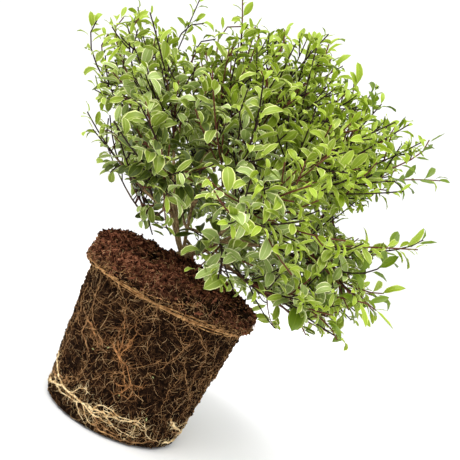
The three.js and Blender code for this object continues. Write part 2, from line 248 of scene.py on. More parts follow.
# %% Light
SKY_STRENGTH = 1.1
SUN_PLACE = Vector((-0.42, -1.1, 1.9))
SUN_AIM = Vector((0, 0, 0.26))  # the middle of the crown
SUN_DISC = 46  # degrees across
SUN_STRENGTH = 2.5

sky = bpy.data.worlds.new("white_sky")
bpy.context.scene.world = sky
sky.use_nodes = True
sky_shader = sky.node_tree.nodes["Background"]
sky_shader.inputs["Color"].default_value = (1, 1, 1, 1)
sky_shader.inputs["Strength"].default_value = SKY_STRENGTH

bpy.ops.object.light_add(type="SUN", location=SUN_PLACE)
sun = bpy.context.object
sun.name = "soft_sun"
sun.rotation_euler = (SUN_AIM - SUN_PLACE).to_track_quat("-Z", "Y").to_euler()
sun.data.angle = math.radians(SUN_DISC)
sun.data.energy = SUN_STRENGTH
bpy.context.scene.view_settings.view_transform = "Standard"
print("sky", SKY_STRENGTH, "and a sun of", SUN_STRENGTH)

# %% Camera
CAMERA_PLACE = Vector((0.025, -0.450, 0.158))
CAMERA_TARGET = Vector((0.024, 0.0, 0.1935))
CAMERA_TILT = 26  # degrees
SENSOR_WIDTH = 36  # millimetres
PICTURE_PIXELS = 460
FOCAL_PIXELS = 485.5  # in a picture of that width

bpy.ops.object.camera_add(location=CAMERA_PLACE)
camera = bpy.context.object
ahead = (CAMERA_TARGET - CAMERA_PLACE).normalized()
tilt = math.radians(CAMERA_TILT)
right = ahead.cross(Vector((-math.sin(tilt), 0, math.cos(tilt)))).normalized()
axes = Matrix((right, right.cross(ahead), -ahead)).transposed().to_4x4()
camera.matrix_world = Matrix.Translation(CAMERA_PLACE) @ axes
camera.data.sensor_width = SENSOR_WIDTH
camera.data.lens = SENSOR_WIDTH * FOCAL_PIXELS / PICTURE_PIXELS
camera.data.clip_start = 0.01
bpy.context.scene.camera = camera
print("lens of", round(camera.data.lens, 1), "mm")

# %% [markdown]
# ## Peat
# The ball is dark brown peat, made of crumbs and short fibres, with redder peat near the
# rim. Three noises do it: a broad one for the red patches, one the size of crumbs that
# decides light or dark, and a fine one for single fibres, which also drives the bump.

# %% Peat finish
RED_HEIGHTS = (0.112, 0.136)  # the red peat begins at the first and is full at the second

peat, peat_shader, places = patterned_finish("peat", 0.95, 0.02)
crumb_noise = places.noise(0.0034, detail=4, roughness=0.65)
fine_noise = places.noise(0.0009, detail=3, roughness=0.7)
broad_noise = places.noise(0.035, detail=2)
grain = 0.6 * crumb_noise + 0.4 * fine_noise
brown = grain.ramp((0.38, (8, 4, 2)), (0.49, (23, 14, 8)), (0.58, (50, 33, 20)), (0.68, (108, 80, 53)))
red = grain.ramp((0.40, (20, 9, 6)), (0.48, (72, 38, 26)), (0.56, (134, 84, 60)), (0.68, (196, 146, 112)))
height = places.node("ShaderNodeSeparateXYZ", {}, {"Vector": places}, output=2)
near_rim = height.within(*RED_HEIGHTS, interpolation_type="SMOOTHSTEP")
red_share = near_rim * broad_noise.within(0.40, 0.54)
places.feed(peat_shader.inputs["Base Color"], red_share.blend(brown, red))
places.feed(peat_shader.inputs["Normal"], grain.relief(0.7, 1 * MM))
print("peat has", len(peat.node_tree.nodes), "nodes")

# %% [markdown]
# ## Modelling by hand, in code
# In edit mode the operators act on what is selected. These helpers choose one piece, select
# corners by a test of their place, and apply a finished modifier. The last one hands a
# finished piece over to the plant.


# %% Helpers for modelling
def deselect():
    for piece in bpy.context.selected_objects:
        piece.select_set(False)


def choose(piece):
    """Makes this the one selected and active piece"""
    deselect()
    piece.select_set(True)
    bpy.context.view_layer.objects.active = piece


def edit(piece, action="DESELECT"):
    """Enters edit mode on this piece alone, with nothing or everything selected"""
    choose(piece)
    bpy.ops.object.mode_set(mode="EDIT")
    bpy.ops.mesh.select_mode(type="VERT")
    bpy.ops.mesh.select_all(action=action)


def pick(piece, test):
    """Selects just the corners whose place passes the test"""
    cage = bmesh.from_edit_mesh(piece.data)
    for corner in cage.verts:
        corner.select_set(bool(test(corner.co)))
    cage.select_flush_mode()
    bmesh.update_edit_mesh(piece.data)


def done_editing(turn_outwards=False):
    if turn_outwards:
        bpy.ops.mesh.select_all(action="SELECT")
        bpy.ops.mesh.normals_make_consistent(inside=False)
    bpy.ops.object.mode_set(mode="OBJECT")


def apply_modifier(piece, kind, **settings):
    choose(piece)
    modifier = piece.modifiers.new(kind.lower(), kind)
    for name, value in settings.items():
        setattr(modifier, name, value)
    bpy.ops.object.modifier_apply(modifier=modifier.name)


def displace(piece, texture, strength, **settings):
    apply_modifier(piece, "DISPLACE", texture=texture, texture_coords="LOCAL", strength=strength, **settings)


def lump_texture(name, kind, size, **settings):
    """A procedural texture for the Displace modifier, with lumps of this size in metres"""
    texture = bpy.data.textures.new(name, kind)
    texture.noise_scale = size
    for key, value in settings.items():
        setattr(texture, key, value)
    return texture


def shape_of(piece):
    """Its corners and faces"""
    corners = np.array([vertex.co for vertex in piece.data.vertices])
    return corners, [tuple(face.vertices) for face in piece.data.polygons]


def coat(piece, finish):
    """Rounded shading and a finish"""
    choose(piece)
    bpy.ops.object.shade_smooth()
    piece.data.materials.append(finish)


def hand_over(piece, slot, *stands_for):
    """The piece rides on the plant's one body and stands for these solids"""
    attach(piece, "root")
    if stands_for:
        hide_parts(*stands_for)
    print(piece.name, "has", sum(len(face.vertices) - 2 for face in piece.data.polygons), "triangles")


# %% [markdown]
# ## The root ball's body
# The ball is a cast of the pot: a tapering cylinder, a step where the pot's rim began, and a
# loose ragged top. It starts as a circle that is extruded up ring by ring and resized at
# each, as it would be by hand. Three simple subdivisions then make it fine enough for real
# relief, and Displace modifiers push out lumps, crumbs and grain. The lumps are strong on
# the loose top and weak on the pressed side, so a vertex group weighs them. The underside
# stays flat, because the plant stands on it.

# %% Root ball: rings
BASE_RADIUS = 0.063
WAIST_RADIUS = 0.0755
RIM_RADIUS = 0.0815
STEP_HEIGHT = 0.113
RIM_TOP = 0.137
SOIL_TOP = 0.151
EDGE_ROUND = 0.007
BALL_PROFILE = [  # heights and radii of the pressed side, from the rounded foot up to the rim
    (0, BASE_RADIUS - EDGE_ROUND),
    (EDGE_ROUND * 0.3, BASE_RADIUS - EDGE_ROUND * 0.3),
    (EDGE_ROUND, BASE_RADIUS),
    (STEP_HEIGHT, WAIST_RADIUS),
    (STEP_HEIGHT + 3 * MM, RIM_RADIUS - MM),
    (STEP_HEIGHT + 6 * MM, RIM_RADIUS),
    (RIM_TOP, RIM_RADIUS),
]
BALL_SECTORS = 54
SIDE_RINGS = 11
RIM_RINGS = (STEP_HEIGHT + 3 * MM, STEP_HEIGHT + 6 * MM, 0.127, RIM_TOP - 3 * MM)
SOIL_RINGS = (0.04, 0.14, 0.27, 0.41, 0.56, 0.72, 0.88)  # shares of the way from the rim in


def read_off(table, at):
    """A value between the pairs of a table"""
    return float(np.interp(at, *zip(*table)))


def side_radius(z):
    return read_off(BALL_PROFILE, z)


def soil_height(share):
    """Height of the soil's top at a share of the way from the rim in to the trunk"""
    return RIM_TOP + (SOIL_TOP - RIM_TOP) * math.sin(share * math.pi / 2) ** 0.8


side_rings = np.linspace(EDGE_ROUND, STEP_HEIGHT, SIDE_RINGS + 1)[1:]
ring_heights = [EDGE_ROUND * 0.3, EDGE_ROUND, *side_rings, *RIM_RINGS]
rings = [(side_radius(z), z) for z in ring_heights]
rings += [(RIM_RADIUS * (1 - share), soil_height(share)) for share in SOIL_RINGS]

deselect()
radius, z = BASE_RADIUS - EDGE_ROUND, 0.0
bpy.ops.mesh.primitive_circle_add(vertices=BALL_SECTORS, radius=radius, fill_type="NGON", location=(0, 0, 0))
ball = bpy.context.object
ball.name = "root_ball_peat"
edit(ball, "SELECT")
for next_radius, next_z in rings:
    bpy.ops.mesh.extrude_region_move(TRANSFORM_OT_translate={"value": (0, 0, next_z - z)})
    share = next_radius / radius
    bpy.ops.transform.resize(value=(share, share, 1), center_override=(0, 0, next_z))
    radius, z = next_radius, next_z
bpy.ops.mesh.poke()
done_editing(turn_outwards=True)
print("cage of the ball has", len(ball.data.polygons), "faces")

# %% Root ball: the uneven rim
# A clump stands up at the left, and the soil has crumbled away at the right.
CLUMP = np.array((-0.062, -0.02, 0.139))
CLUMP_WIDTH = 0.024
CLUMP_RISE = 0.009
CRUMBLE_DROP = 0.006
EVEN_BELOW = 0.125

edit(ball)
cage = bmesh.from_edit_mesh(ball.data)
for corner in cage.verts:
    if corner.co.z < EVEN_BELOW:
        continue
    off = math.dist(corner.co, CLUMP)
    corner.co.z += CLUMP_RISE * math.exp(-((off / CLUMP_WIDTH) ** 2))
    to_right = max(0.0, corner.co.x / RIM_RADIUS)
    corner.co.z -= CRUMBLE_DROP * to_right**3
bmesh.update_edit_mesh(ball.data)
done_editing()
print("the rim is at most", round(max(corner[2] for corner in shape_of(ball)[0]) / MM, 1), "mm high")

# %% Root ball: relief
LOOSENESS = {  # how much of the relief shows at each height, in two groups of corners
    "loose": [(0.003, 0), (0.01, 0.22), (0.112, 0.3), (0.132, 1)],
    "pressed": [(0.0005, 0), (0.004, 1)],
}
RELIEF = [  # name, kind, size of its lumps, how far they stand out, group, other settings
    ("lumps", "CLOUDS", 0.012, 0.0120, "loose", {"noise_depth": 2}),
    ("chunks", "VORONOI", 0.006, 0.0058, "loose", {"noise_intensity": 1.0}),
    ("tufts", "CLOUDS", 0.0032, 0.0050, "loose", {"noise_depth": 2, "noise_type": "HARD_NOISE"}),
    ("crumbs", "CLOUDS", 0.0040, 0.0042, "pressed", {"noise_depth": 3, "noise_type": "HARD_NOISE"}),
    ("grain", "VORONOI", 0.0024, 0.0026, "pressed", {"noise_intensity": 1.0}),
]

apply_modifier(ball, "SUBSURF", subdivision_type="SIMPLE", levels=3, render_levels=3)
for name, table in LOOSENESS.items():
    group = ball.vertex_groups.new(name=name)
    for vertex in ball.data.vertices:
        group.add([vertex.index], read_off(table, vertex.co.z), "REPLACE")
for name, kind, size, strength, group, settings in RELIEF:
    displace(ball, lump_texture(name, kind, size, **settings), strength, vertex_group=group)
coat(ball, peat)
hand_over(ball, "soil", "root_ball")

# %% [markdown]
# ## Laying things on the ball
# Roots and fibres lie on the peat, so their paths are given as an azimuth round the ball
# and a height, and a ray finds the real, lumpy surface there. A path through a few such
# points is rounded off by a Catmull-Rom curve, and tube() makes its skin. Many thin tubes
# are joined into one mesh from arrays, because single objects by the thousand would be slow.


# %% Rays and rounded paths
ball_corners, ball_faces = shape_of(ball)
ball_tree = BVHTree.FromPolygons(ball_corners.tolist(), ball_faces)


def on_ball(azimuth, z, lift):
    """A point this far outside the ball's side"""
    outward = Vector(direction(azimuth, 0))
    start = outward * 0.2 + Vector((0, 0, z))
    hit = ball_tree.ray_cast(start, -outward)[0] or outward * side_radius(z) + Vector((0, 0, z))
    return np.array(hit + outward * lift)


def on_soil(x, y, lift):
    """A point this far above the soil's top"""
    hit = ball_tree.ray_cast(Vector((x, y, 0.4)), Vector((0, 0, -1)))[0] or Vector((x, y, RIM_TOP))
    return np.array(hit) + UP * lift


def rounded(points, count):
    """A smooth path through the points, as this many points"""
    points = np.asarray(points, float)
    padded = np.vstack((2 * points[0] - points[1], points, 2 * points[-1] - points[-2]))
    spots = np.linspace(0, len(points) - 1, count)
    part = np.minimum(spots.astype(int), len(points) - 2)
    t = (spots - part)[:, None]
    a, b, c, d = (padded[part + i] for i in range(4))
    return 0.5 * (2 * b + (c - a) * t + (2 * a - 5 * b + 4 * c - d) * t**2 + (3 * b - a - 3 * c + d) * t**3)


print("the side at half height is at", round(float(np.linalg.norm(on_ball(0, 0.06, 0)[:2])) / MM, 1), "mm")


# %% Tubes, and heaps of small shapes
def frames(path, side):
    """The way ahead and one side at each point of a path, without a twist"""
    ahead, sides = [], []
    for tangent in np.gradient(path, axis=0):
        ahead.append(unit(tangent))
        side = unit(side - ahead[-1] * np.dot(side, ahead[-1]))
        sides.append(side)
    return np.array(ahead), np.array(sides)


def tube(path, radii, sides):
    """Corners and faces of a closed tube along a path, with a radius at each point"""
    path = np.asarray(path, float)
    start = path[1] - path[0]
    beside = np.cross(start, UP if abs(unit(start)[2]) < 0.9 else (1.0, 0, 0))
    angles = np.arange(sides) * 2 * math.pi / sides
    corners = []
    for point, radius, tangent, side in zip(path, radii, *frames(path, beside)):
        ring = np.outer(np.cos(angles), side) + np.outer(np.sin(angles), np.cross(tangent, side))
        corners.append(point + radius * ring)
    faces = []
    for low in range(0, (len(path) - 1) * sides, sides):
        for j in range(sides):
            k = (j + 1) % sides
            faces.append((low + j, low + k, low + sides + k, low + sides + j))
    last = (len(path) - 1) * sides
    faces.append(tuple(reversed(range(sides))))
    faces.append(tuple(range(last, last + sides)))
    return np.vstack(corners), faces


class Heap:
    """Many small shapes, each with its finish, to be joined into one piece"""

    def __init__(self, *finishes):
        self.finishes = finishes
        self.corners, self.faces, self.looks, self.count = [], [], [], 0

    def add(self, corners, faces, look=0):
        """look is the number of the finish, or one for each face"""
        self.corners.append(corners)
        self.faces += [tuple(i + self.count for i in face) for face in faces]
        self.looks += [look] * len(faces) if isinstance(look, int) else list(look)
        self.count += len(corners)

    def piece(self, name, rounded_look=True):
        mesh = bpy.data.meshes.new(name)
        mesh.from_pydata(np.vstack(self.corners).tolist(), [], self.faces)
        mesh.polygons.foreach_set("material_index", self.looks)
        mesh.polygons.foreach_set("use_smooth", [rounded_look] * len(self.faces))
        for finish in self.finishes:
            mesh.materials.append(finish)
        mesh.update()
        made = bpy.data.objects.new(name, mesh)
        bpy.context.scene.collection.objects.link(made)
        return made


print("a tube of 3 rings has", len(tube([(0, 0, 0), (0, 0, 1), (0, 0, 2)], (1, 1, 1), 6)[1]), "faces")

# %% [markdown]
# ## Roots
# Three kinds show. A tan band of several strands runs round the ball under the step, where
# the pot's rim turned the roots. Cream-coloured thick roots circle at the foot, and
# orange-brown ones branch on the side. The ones that show are laid one by one from a few
# points each. The back was not seen, so the same roots are laid there again, turned round
# and shifted by chance.

# %% Root finishes
def root_finish(name, dark, light):
    """Long soft streaks between two colours"""
    finish, shader, spots = patterned_finish(name, 0.75, 0.3)
    streaks = spots.noise(0.0035, detail=2)
    spots.feed(shader.inputs["Base Color"], streaks.ramp((0.38, dark), (0.62, light)))
    return finish


tan_root = root_finish("tan_root", (118, 80, 44), (186, 142, 92))
orange_root = root_finish("orange_root", (120, 76, 40), (192, 136, 80))
cream_root = root_finish("cream_root", (178, 140, 88), (242, 220, 172))
golden_root = root_finish("golden_root", (142, 96, 50), (216, 170, 110))
print("four root finishes")

# %% Walks and hairs on the ball
LOWEST_WALK = 0.002
HAIR_STEPS = 6


def walk(azimuth, z, heading, step, steps, curl, key, lift=0.3):
    """A path over the ball's side that starts out one way and curls by chance"""
    path = []
    for i in range(steps):
        path.append(on_ball(azimuth, z, (lift + 0.5 * (chance(key, i, 36) - 0.4)) * MM))
        heading += sway(curl, key, i, 37)
        along, up = circled(step, heading)
        azimuth += math.degrees(along / side_radius(z))
        z = min(max(z + up, LOWEST_WALK), RIM_TOP)
    return path


def add_hairs(heap, look, path, each, key):
    """Thin hairs that leave a root on both sides, one every so many millimetres"""
    steps = np.linalg.norm(np.diff(path, axis=0), axis=1)
    for n in range(int(steps.sum() / (each * MM))):
        place = path[int(len(path) * chance(key, n, 81))]
        azimuth = math.degrees(math.atan2(place[1], place[0]))
        step = (0.7 + 1.3 * chance(key, n, 82)) * MM
        hair = walk(azimuth, place[2], 360 * chance(key, n, 83), step, HAIR_STEPS, 80, key + n, lift=0.5)
        thickness = (0.1 + 0.12 * chance(key, n, 84)) * MM
        heap.add(*tube(hair, [thickness * (1 - 0.12 * i) for i in range(HAIR_STEPS)], 3), look)


print("a walk of 5 steps ends at", walk(270, 0.06, 20, 2 * MM, 5, 40, 1)[-1].round(4))

# %% One root laid on the ball
ROOT_SLIMNESS = 0.68
ROOT_STEP = 1.8  # millimetres between the points of a path
DEGREE_LENGTH = 1.2  # millimetres round the ball


def lay_root(heap, look, thickness, points, key, hairs_each=2.6):
    """A root through (azimuth, height in mm) points, thin at its far end, with its hairs"""
    flat = [(azimuth * DEGREE_LENGTH, height_mm) for azimuth, height_mm in points]
    length = sum(math.dist(one, other) for one, other in zip(flat, flat[1:]))
    count = max(6, int(length / ROOT_STEP))
    path = []
    for i, (azimuth, height_mm) in enumerate(rounded(points, count)):
        wobble, rise = sway(1.7, key, i // 2, 1), sway(1.9, key, i // 2, 2)
        path.append(on_ball(azimuth + wobble, (height_mm + rise) * MM, 0.4 * thickness * MM))
    path = rounded(path[::2] + [path[-1]], count)
    radii = []
    for i in range(count):
        taper = (1 - 0.65 * i / count) * (0.7 + 0.6 * chance(key, i, 3))
        radii.append(0.5 * ROOT_SLIMNESS * thickness * MM * taper)
    heap.add(*tube(path, radii, 6), look)
    add_hairs(heap, look, path, hairs_each, key + 0.37)


def turned_points(points, turn, key):
    """The same root on another side, a little different there"""
    if not turn:
        return points
    rise, swing = sway(10, key, 4), turn + sway(16, key, 5)
    top = 109 if points[0][1] > 40 else 30
    return [(azimuth + swing, min(max(height_mm + rise, 3), top)) for azimuth, height_mm in points]


print("10 degrees are about", 10 * DEGREE_LENGTH, "mm round the ball")

# %% Roots on the side and at the foot
# Each row is a thickness in millimetres and the points it passes, as azimuth and height.
TAN, ORANGE = 0, 1
SIDE_ROOTS = [
    (ORANGE, 1.5, [(262, 62), (259, 75), (257, 87)]),
    (ORANGE, 0.8, [(261, 66), (256, 78), (254, 95)]),
    (ORANGE, 1.2, [(262, 62), (264, 71), (267, 76)]),
    (ORANGE, 0.8, [(260, 70), (266, 80), (264, 90)]),
    (ORANGE, 1.9, [(256, 68), (262, 62), (266, 61), (271, 57), (277, 47)]),
    (ORANGE, 0.9, [(263, 62), (268, 54), (272, 46), (275, 44)]),
    (ORANGE, 0.9, [(277, 47), (275, 41), (271, 38)]),
    (ORANGE, 0.9, [(277, 47), (280, 42), (279, 36)]),
    (ORANGE, 0.8, [(277, 47), (282, 49), (286, 47)]),
    (ORANGE, 0.8, [(278, 48), (273, 43), (268, 44)]),
    (TAN, 1.1, [(212, 74), (223, 67), (239, 71), (245, 67), (250, 63)]),
    (TAN, 0.8, [(218, 80), (230, 73), (240, 64), (252, 60)]),
    (ORANGE, 1.0, [(228, 74), (238, 69), (244, 66), (251, 68)]),
    (TAN, 0.9, [(226, 104), (226, 90), (234, 77), (240, 70), (246, 60)]),
    (TAN, 1.2, [(227, 78), (227, 65), (234, 60), (242, 50), (242, 37), (238, 30)]),
    (TAN, 0.9, [(228, 27), (233, 25), (249, 35), (261, 49), (272, 52)]),
    (TAN, 1.0, [(294, 112), (305, 101), (316, 88), (318, 66)]),
    (TAN, 0.9, [(268, 112), (271, 108), (274, 89), (276, 77)]),
    (TAN, 0.9, [(282, 105), (294, 93), (300, 88)]),
    (TAN, 0.8, [(301, 81), (314, 62), (330, 44), (334, 30)]),
    (TAN, 0.7, [(262, 46), (267, 53), (282, 68), (290, 74), (302, 78)]),
    (TAN, 0.8, [(298, 96), (298, 89), (289, 67), (280, 55)]),
    (TAN, 0.7, [(307, 70), (303, 47), (312, 22)]),
    (TAN, 0.7, [(322, 100), (330, 76), (326, 52), (332, 25)]),
    (TAN, 0.7, [(216, 96), (236, 92), (247, 99), (262, 96)]),
]
FOOT_ROOTS = [
    (1.9, [(200, 33), (209, 27), (224, 20), (239, 18), (248, 28), (252, 24)]),
    (1.3, [(203, 24), (214, 20), (226, 23), (238, 15), (250, 19)]),
    (2.3, [(205, 12), (216, 13), (229, 18), (242, 18), (251, 17), (258, 15), (268, 14), (277, 13)]),
    (1.4, [(214, 17), (228, 13), (243, 14), (256, 18), (264, 13)]),
    (1.8, [(258, 17), (267, 19), (275, 18), (291, 20), (299, 17)]),
    (1.5, [(258, 16), (264, 13), (270, 6)]),
    (1.4, [(260, 17), (266, 24), (276, 22), (286, 21), (294, 24)]),
    (1.2, [(262, 16), (272, 21), (282, 18), (292, 23), (300, 20)]),
    (1.2, [(246, 16), (252, 9), (259, 4)]),
    (1.0, [(250, 17), (258, 10), (266, 5)]),
    (1.3, [(264, 8), (270, 6), (280, 4), (292, 4), (304, 6), (316, 10)]),
    (1.0, [(268, 11), (278, 7), (290, 8), (300, 5)]),
    (0.9, [(288, 4), (292, 10), (294, 19), (293, 31)]),
    (0.9, [(226, 20), (232, 27), (240, 31)]),
    (0.9, [(272, 17), (280, 11), (290, 11), (301, 9)]),
    (0.8, [(298, 22), (306, 13), (318, 9), (330, 12)]),
]
BACK_TURNS = (118, 236)

side_roots = Heap(tan_root, orange_root)
foot_roots = Heap(cream_root, tan_root)
for turn in (0, *BACK_TURNS):
    for i, (look, thickness, points) in enumerate(SIDE_ROOTS):
        key = i + turn
        each = 1.5 if look == ORANGE else 2.4
        lay_root(side_roots, look, thickness, turned_points(points, turn, key), key, hairs_each=each)
    for i, (thickness, points) in enumerate(FOOT_ROOTS):
        key = 500 + i + turn
        look = int(chance(key, 85) < 0.3)
        lay_root(foot_roots, look, 1.2 * thickness, turned_points(points, turn, key), key, hairs_each=1.7)
hand_over(side_roots.piece("side_roots"), "root")
hand_over(foot_roots.piece("foot_roots"), "pale_root", "foot_root")

# %% [markdown]
# The band under the rim is six fine strands that wind slowly about each other. Each is a whole
# round path: its height follows the step, and its own slow wave makes it cross the others.
# Short strands leave it upwards and downwards.

# %% The band under the rim
BAND_HEIGHTS = [  # azimuth and height in millimetres
    (85, 112), (150, 114), (214, 115.5), (243, 113), (272, 111), (298, 111.5), (330, 112), (445, 112),
]
STRANDS = 6
STRAND_POINTS = 190
BAND_SIDE_STRANDS = [
    (0.9, [(218, 116), (224, 117), (237, 121), (247, 122)]),
    (0.6, [(226, 116), (232, 121), (238, 127)]),
    (0.8, [(256, 112), (262, 116), (274, 118), (290, 124)]),
    (1.0, [(296, 111), (306, 115), (317, 114), (330, 110)]),
    (0.8, [(300, 112), (312, 118), (326, 117), (336, 111)]),
    (0.9, [(285, 112), (292, 107), (300, 105), (309, 99)]),
    (0.7, [(240, 113), (246, 106), (250, 96)]),
    (0.7, [(318, 113), (326, 119), (337, 119), (346, 113)]),
    (0.6, [(276, 112), (283, 121), (291, 126)]),
]

band = Heap(golden_root, tan_root)
for strand in range(STRANDS):
    path, radii = [], []
    for i in range(STRAND_POINTS):
        azimuth = 92 + 3 * strand + 350 * i / (STRAND_POINTS - 1)
        wave = math.radians(azimuth * (2.1 + 0.35 * strand) + 73 * strand)
        parting = max(0.0, math.sin(math.radians(azimuth * 1.5 - 20 + 40 * strand))) ** 4
        z = read_off(BAND_HEIGHTS, azimuth) + (0.8 + 2.6 * parting) * math.sin(wave)
        z += 0.5 * chance(i // 3, strand, 21)
        path.append(on_ball(azimuth, z * MM, (0.5 + 0.5 * math.cos(wave)) * MM))
        thin_ends = min(1, 0.3 + 4 * i / STRAND_POINTS, 0.3 + 4 * (1 - i / STRAND_POINTS))
        radii.append((0.2 + 0.18 * chance(strand, 23) + 0.14 * chance(strand, i // 4, 24)) * MM * thin_ends)
    path = rounded(path[::2], STRAND_POINTS)
    band.add(*tube(path, radii, 5), int(strand == 3))
    add_hairs(band, TAN, path, 7, 800 + strand)
for turn in (0, *BACK_TURNS):
    for i, (thickness, points) in enumerate(BAND_SIDE_STRANDS):
        swung = [(azimuth + turn, height_mm) for azimuth, height_mm in points]
        lay_root(band, i % 2, thickness, swung, 700 + i + turn)
hand_over(band.piece("rim_roots"), "root", "rim_root")

# %% [markdown]
# ## Fibres
# The whole side is felted with hair-thin tan fibres that run every way and curl. Each is a
# short walk over the ball whose heading drifts by chance. Three tones are dealt out among
# them. On the loose top they stand up a little, which gives the rim its ragged edge.

# %% Fibres on the side
FIBRES = 4500
TOP_FIBRES = 3000
FIBRE_STEPS = 7

light_fibre = plain_finish("light_fibre", (202, 165, 118), 0.8, 0.15)
mid_fibre = plain_finish("mid_fibre", (150, 108, 68), 0.85, 0.1)
dark_fibre = plain_finish("dark_fibre", (96, 66, 42), 0.9, 0.05)
red_fibre = plain_finish("red_fibre", (184, 124, 92), 0.9, 0.05)

fibres = Heap(light_fibre, mid_fibre, dark_fibre)
for n in range(FIBRES):
    step = (0.8 + 2.8 * chance(n, 35) ** 2.2) * MM
    height = 0.003 + 0.132 * chance(n, 33) ** 0.9
    curl = 6 + 60 * chance(n, 39)
    path = walk(360 * chance(n, 32), height, 360 * chance(n, 34), step, FIBRE_STEPS, curl, n)
    thickness = (0.07 + 0.13 * chance(n, 38) ** 2) * MM
    radii = [thickness * (1 - 0.5 * i / FIBRE_STEPS) for i in range(FIBRE_STEPS)]
    fibres.add(*tube(path, radii, 3), min(2, int(3 * chance(n, 31) ** 0.85)))
hand_over(fibres.piece("fibres"), "root")

# %% Fibres on the top
top_fibres = Heap(light_fibre, mid_fibre, dark_fibre, red_fibre)
for n in range(TOP_FIBRES):
    azimuth, heading = 360 * chance(n, 43), 360 * chance(n, 44)
    if n % 5 < 3:
        out = RIM_RADIUS * 0.95 * chance(n, 42) ** 0.4
        point = on_soil(*circled(out, azimuth), 0)
        lean = direction(heading, 55 * chance(n, 45))
    else:
        point = on_ball(azimuth, 0.117 + 0.021 * chance(n, 42), -0.2 * MM)
        lean = unit(direction(azimuth, 0) + 1.1 * turned(UP, direction(azimuth, 0), heading))
    path = [point]
    for i in range(4):
        lean = unit(lean + 0.6 * (direction(360 * chance(n, i, 46), 0) - 0.35 * UP))
        path.append(path[-1] + lean * (0.5 + 1.1 * chance(n, 47)) * MM)
    look = 3 if chance(n, 48) < 0.55 else int(3 * chance(n, 49))
    top_fibres.add(*tube(path, [0.24 * MM * (1 - 0.14 * i) for i in range(5)], 3), look)
hand_over(top_fibres.piece("top_fibres"), "root")

# %% [markdown]
# ## Crumbs
# Loose crumbs of peat lie on the top and cling to the rim. One crumb is modelled, a small
# icosphere with its corners pushed about, and it is copied at many sizes and turns. A few
# pale green specks on the side are slow-release feed and bits of moss.

# %% Crumbs and specks
CRUMBS = 2600
FOOT_CRUMBS = 260  # heaped round the foot of the stems
SPECKS = [(242, 57), (253, 65), (288, 59), (273, 36), (298, 26), (293, 17)]
SPECK_SIZE = 0.75 * MM
HEAP_MIDDLE = -4 * MM  # the heap stands a little to the left
DARKER = 1.2  # above 1, more of the crumbs are dark

deselect()
bpy.ops.mesh.primitive_ico_sphere_add(subdivisions=1, radius=1, location=(0, 0, 0))
crumb = bpy.context.object
edit(crumb, "SELECT")
bpy.ops.transform.vertex_random(offset=0.42, seed=5)
done_editing()
crumb_corners, crumb_faces = shape_of(crumb)
bpy.data.objects.remove(crumb)

dark_peat = plain_finish("dark_peat", (38, 22, 14), 0.95, 0.02)
brown_peat = plain_finish("brown_peat", (88, 57, 38), 0.95, 0.02)
red_peat = plain_finish("red_peat", (112, 68, 49), 0.95, 0.02)
green_speck = plain_finish("green_speck", (168, 184, 118), 0.6, 0.4)
SPECK_LOOK = 3
loose_crumbs = Heap(dark_peat, brown_peat, red_peat, green_speck)


def scatter_crumb(place, size, key, look):
    turn = Matrix.Rotation(6.3 * chance(key, 51), 3, Vector(direction(360 * chance(key, 52), 40)))
    stretch = (1.1 + 1.2 * chance(key, 53), 0.5 + 0.5 * chance(key, 54), 0.5 + 0.4 * chance(key, 55))
    corners = (crumb_corners * np.array(stretch) * size) @ np.array(turn).T + place
    loose_crumbs.add(corners, crumb_faces, look)


for n in range(CRUMBS):
    size = (0.4 + 1.5 * chance(n, 56) ** 4) * MM
    azimuth = 360 * chance(n, 57)
    if n % 3:
        out = RIM_RADIUS * 0.94 * chance(n, 58) ** 0.5
        place = on_soil(*circled(out, azimuth), 0.2 * size)
    else:
        place = on_ball(azimuth, 0.116 + 0.024 * chance(n, 59), 0.1 * size)
    scatter_crumb(place, size, n, int(3 * chance(n, 60) ** DARKER))
for n in range(FOOT_CRUMBS):
    size = (0.9 + 1.6 * chance(n, 86) ** 2) * MM
    x, y = circled((6 + 9 * chance(n, 88)) * MM, 360 * chance(n, 87))
    place = on_soil(HEAP_MIDDLE + x, y, 0.5 * size)
    scatter_crumb(place, size, 3000 + n, int(3 * chance(n, 89) ** DARKER))
for turn in (0, *BACK_TURNS):
    for n, (azimuth, height_mm) in enumerate(SPECKS):
        scatter_crumb(on_ball(azimuth + turn, height_mm * MM, 0.4 * MM), SPECK_SIZE, 900 + n, SPECK_LOOK)
hand_over(loose_crumbs.piece("crumbs", rounded_look=False), "soil")

# %% [markdown]
# ## Bark
# The stems are as thick as a pencil at most, tan-brown, with fine darker fissures along
# them and a few pale dots. The pattern has to follow each stem, so it reads the stem's own
# UV map, stretched along the length.

# %% Bark finish
bark, bark_shader, unwrapped = patterned_finish("bark", 0.85, 0.3, "UV")
stretched = unwrapped.node("ShaderNodeMapping", {}, {"Vector": unwrapped, "Scale": (1.0, 0.22, 1.0)})
fissures = stretched.noise(0.0011, detail=4, roughness=0.6)
tones = unwrapped.noise(0.011, detail=2)
bark_grain = 0.65 * fissures + 0.35 * tones
bark_colour = bark_grain.ramp(
    (0.36, (62, 47, 29)), (0.47, (116, 93, 60)), (0.56, (160, 134, 92)), (0.68, (198, 174, 130))
)
unwrapped.feed(bark_shader.inputs["Base Color"], bark_colour)
unwrapped.feed(bark_shader.inputs["Normal"], fissures.relief(0.6, 0.0006))
print("bark has", len(bark.node_tree.nodes), "nodes")

# %% [markdown]
# ## The crown's plan
# The solids were grown from a plan: the crown's outline as a reach in each direction from
# the heart, rings of leafy masses inside it, and stems and boughs that run to each mass.
# The same plan is written again here, so the wood replaces its solids exactly and the
# leaves stay within the same reach. One thing is added: the outline has a second, finer
# line further in. Most of the foliage ends at it, with its dents, and only the long shoots
# pass it, which gives the crown its loose edge.

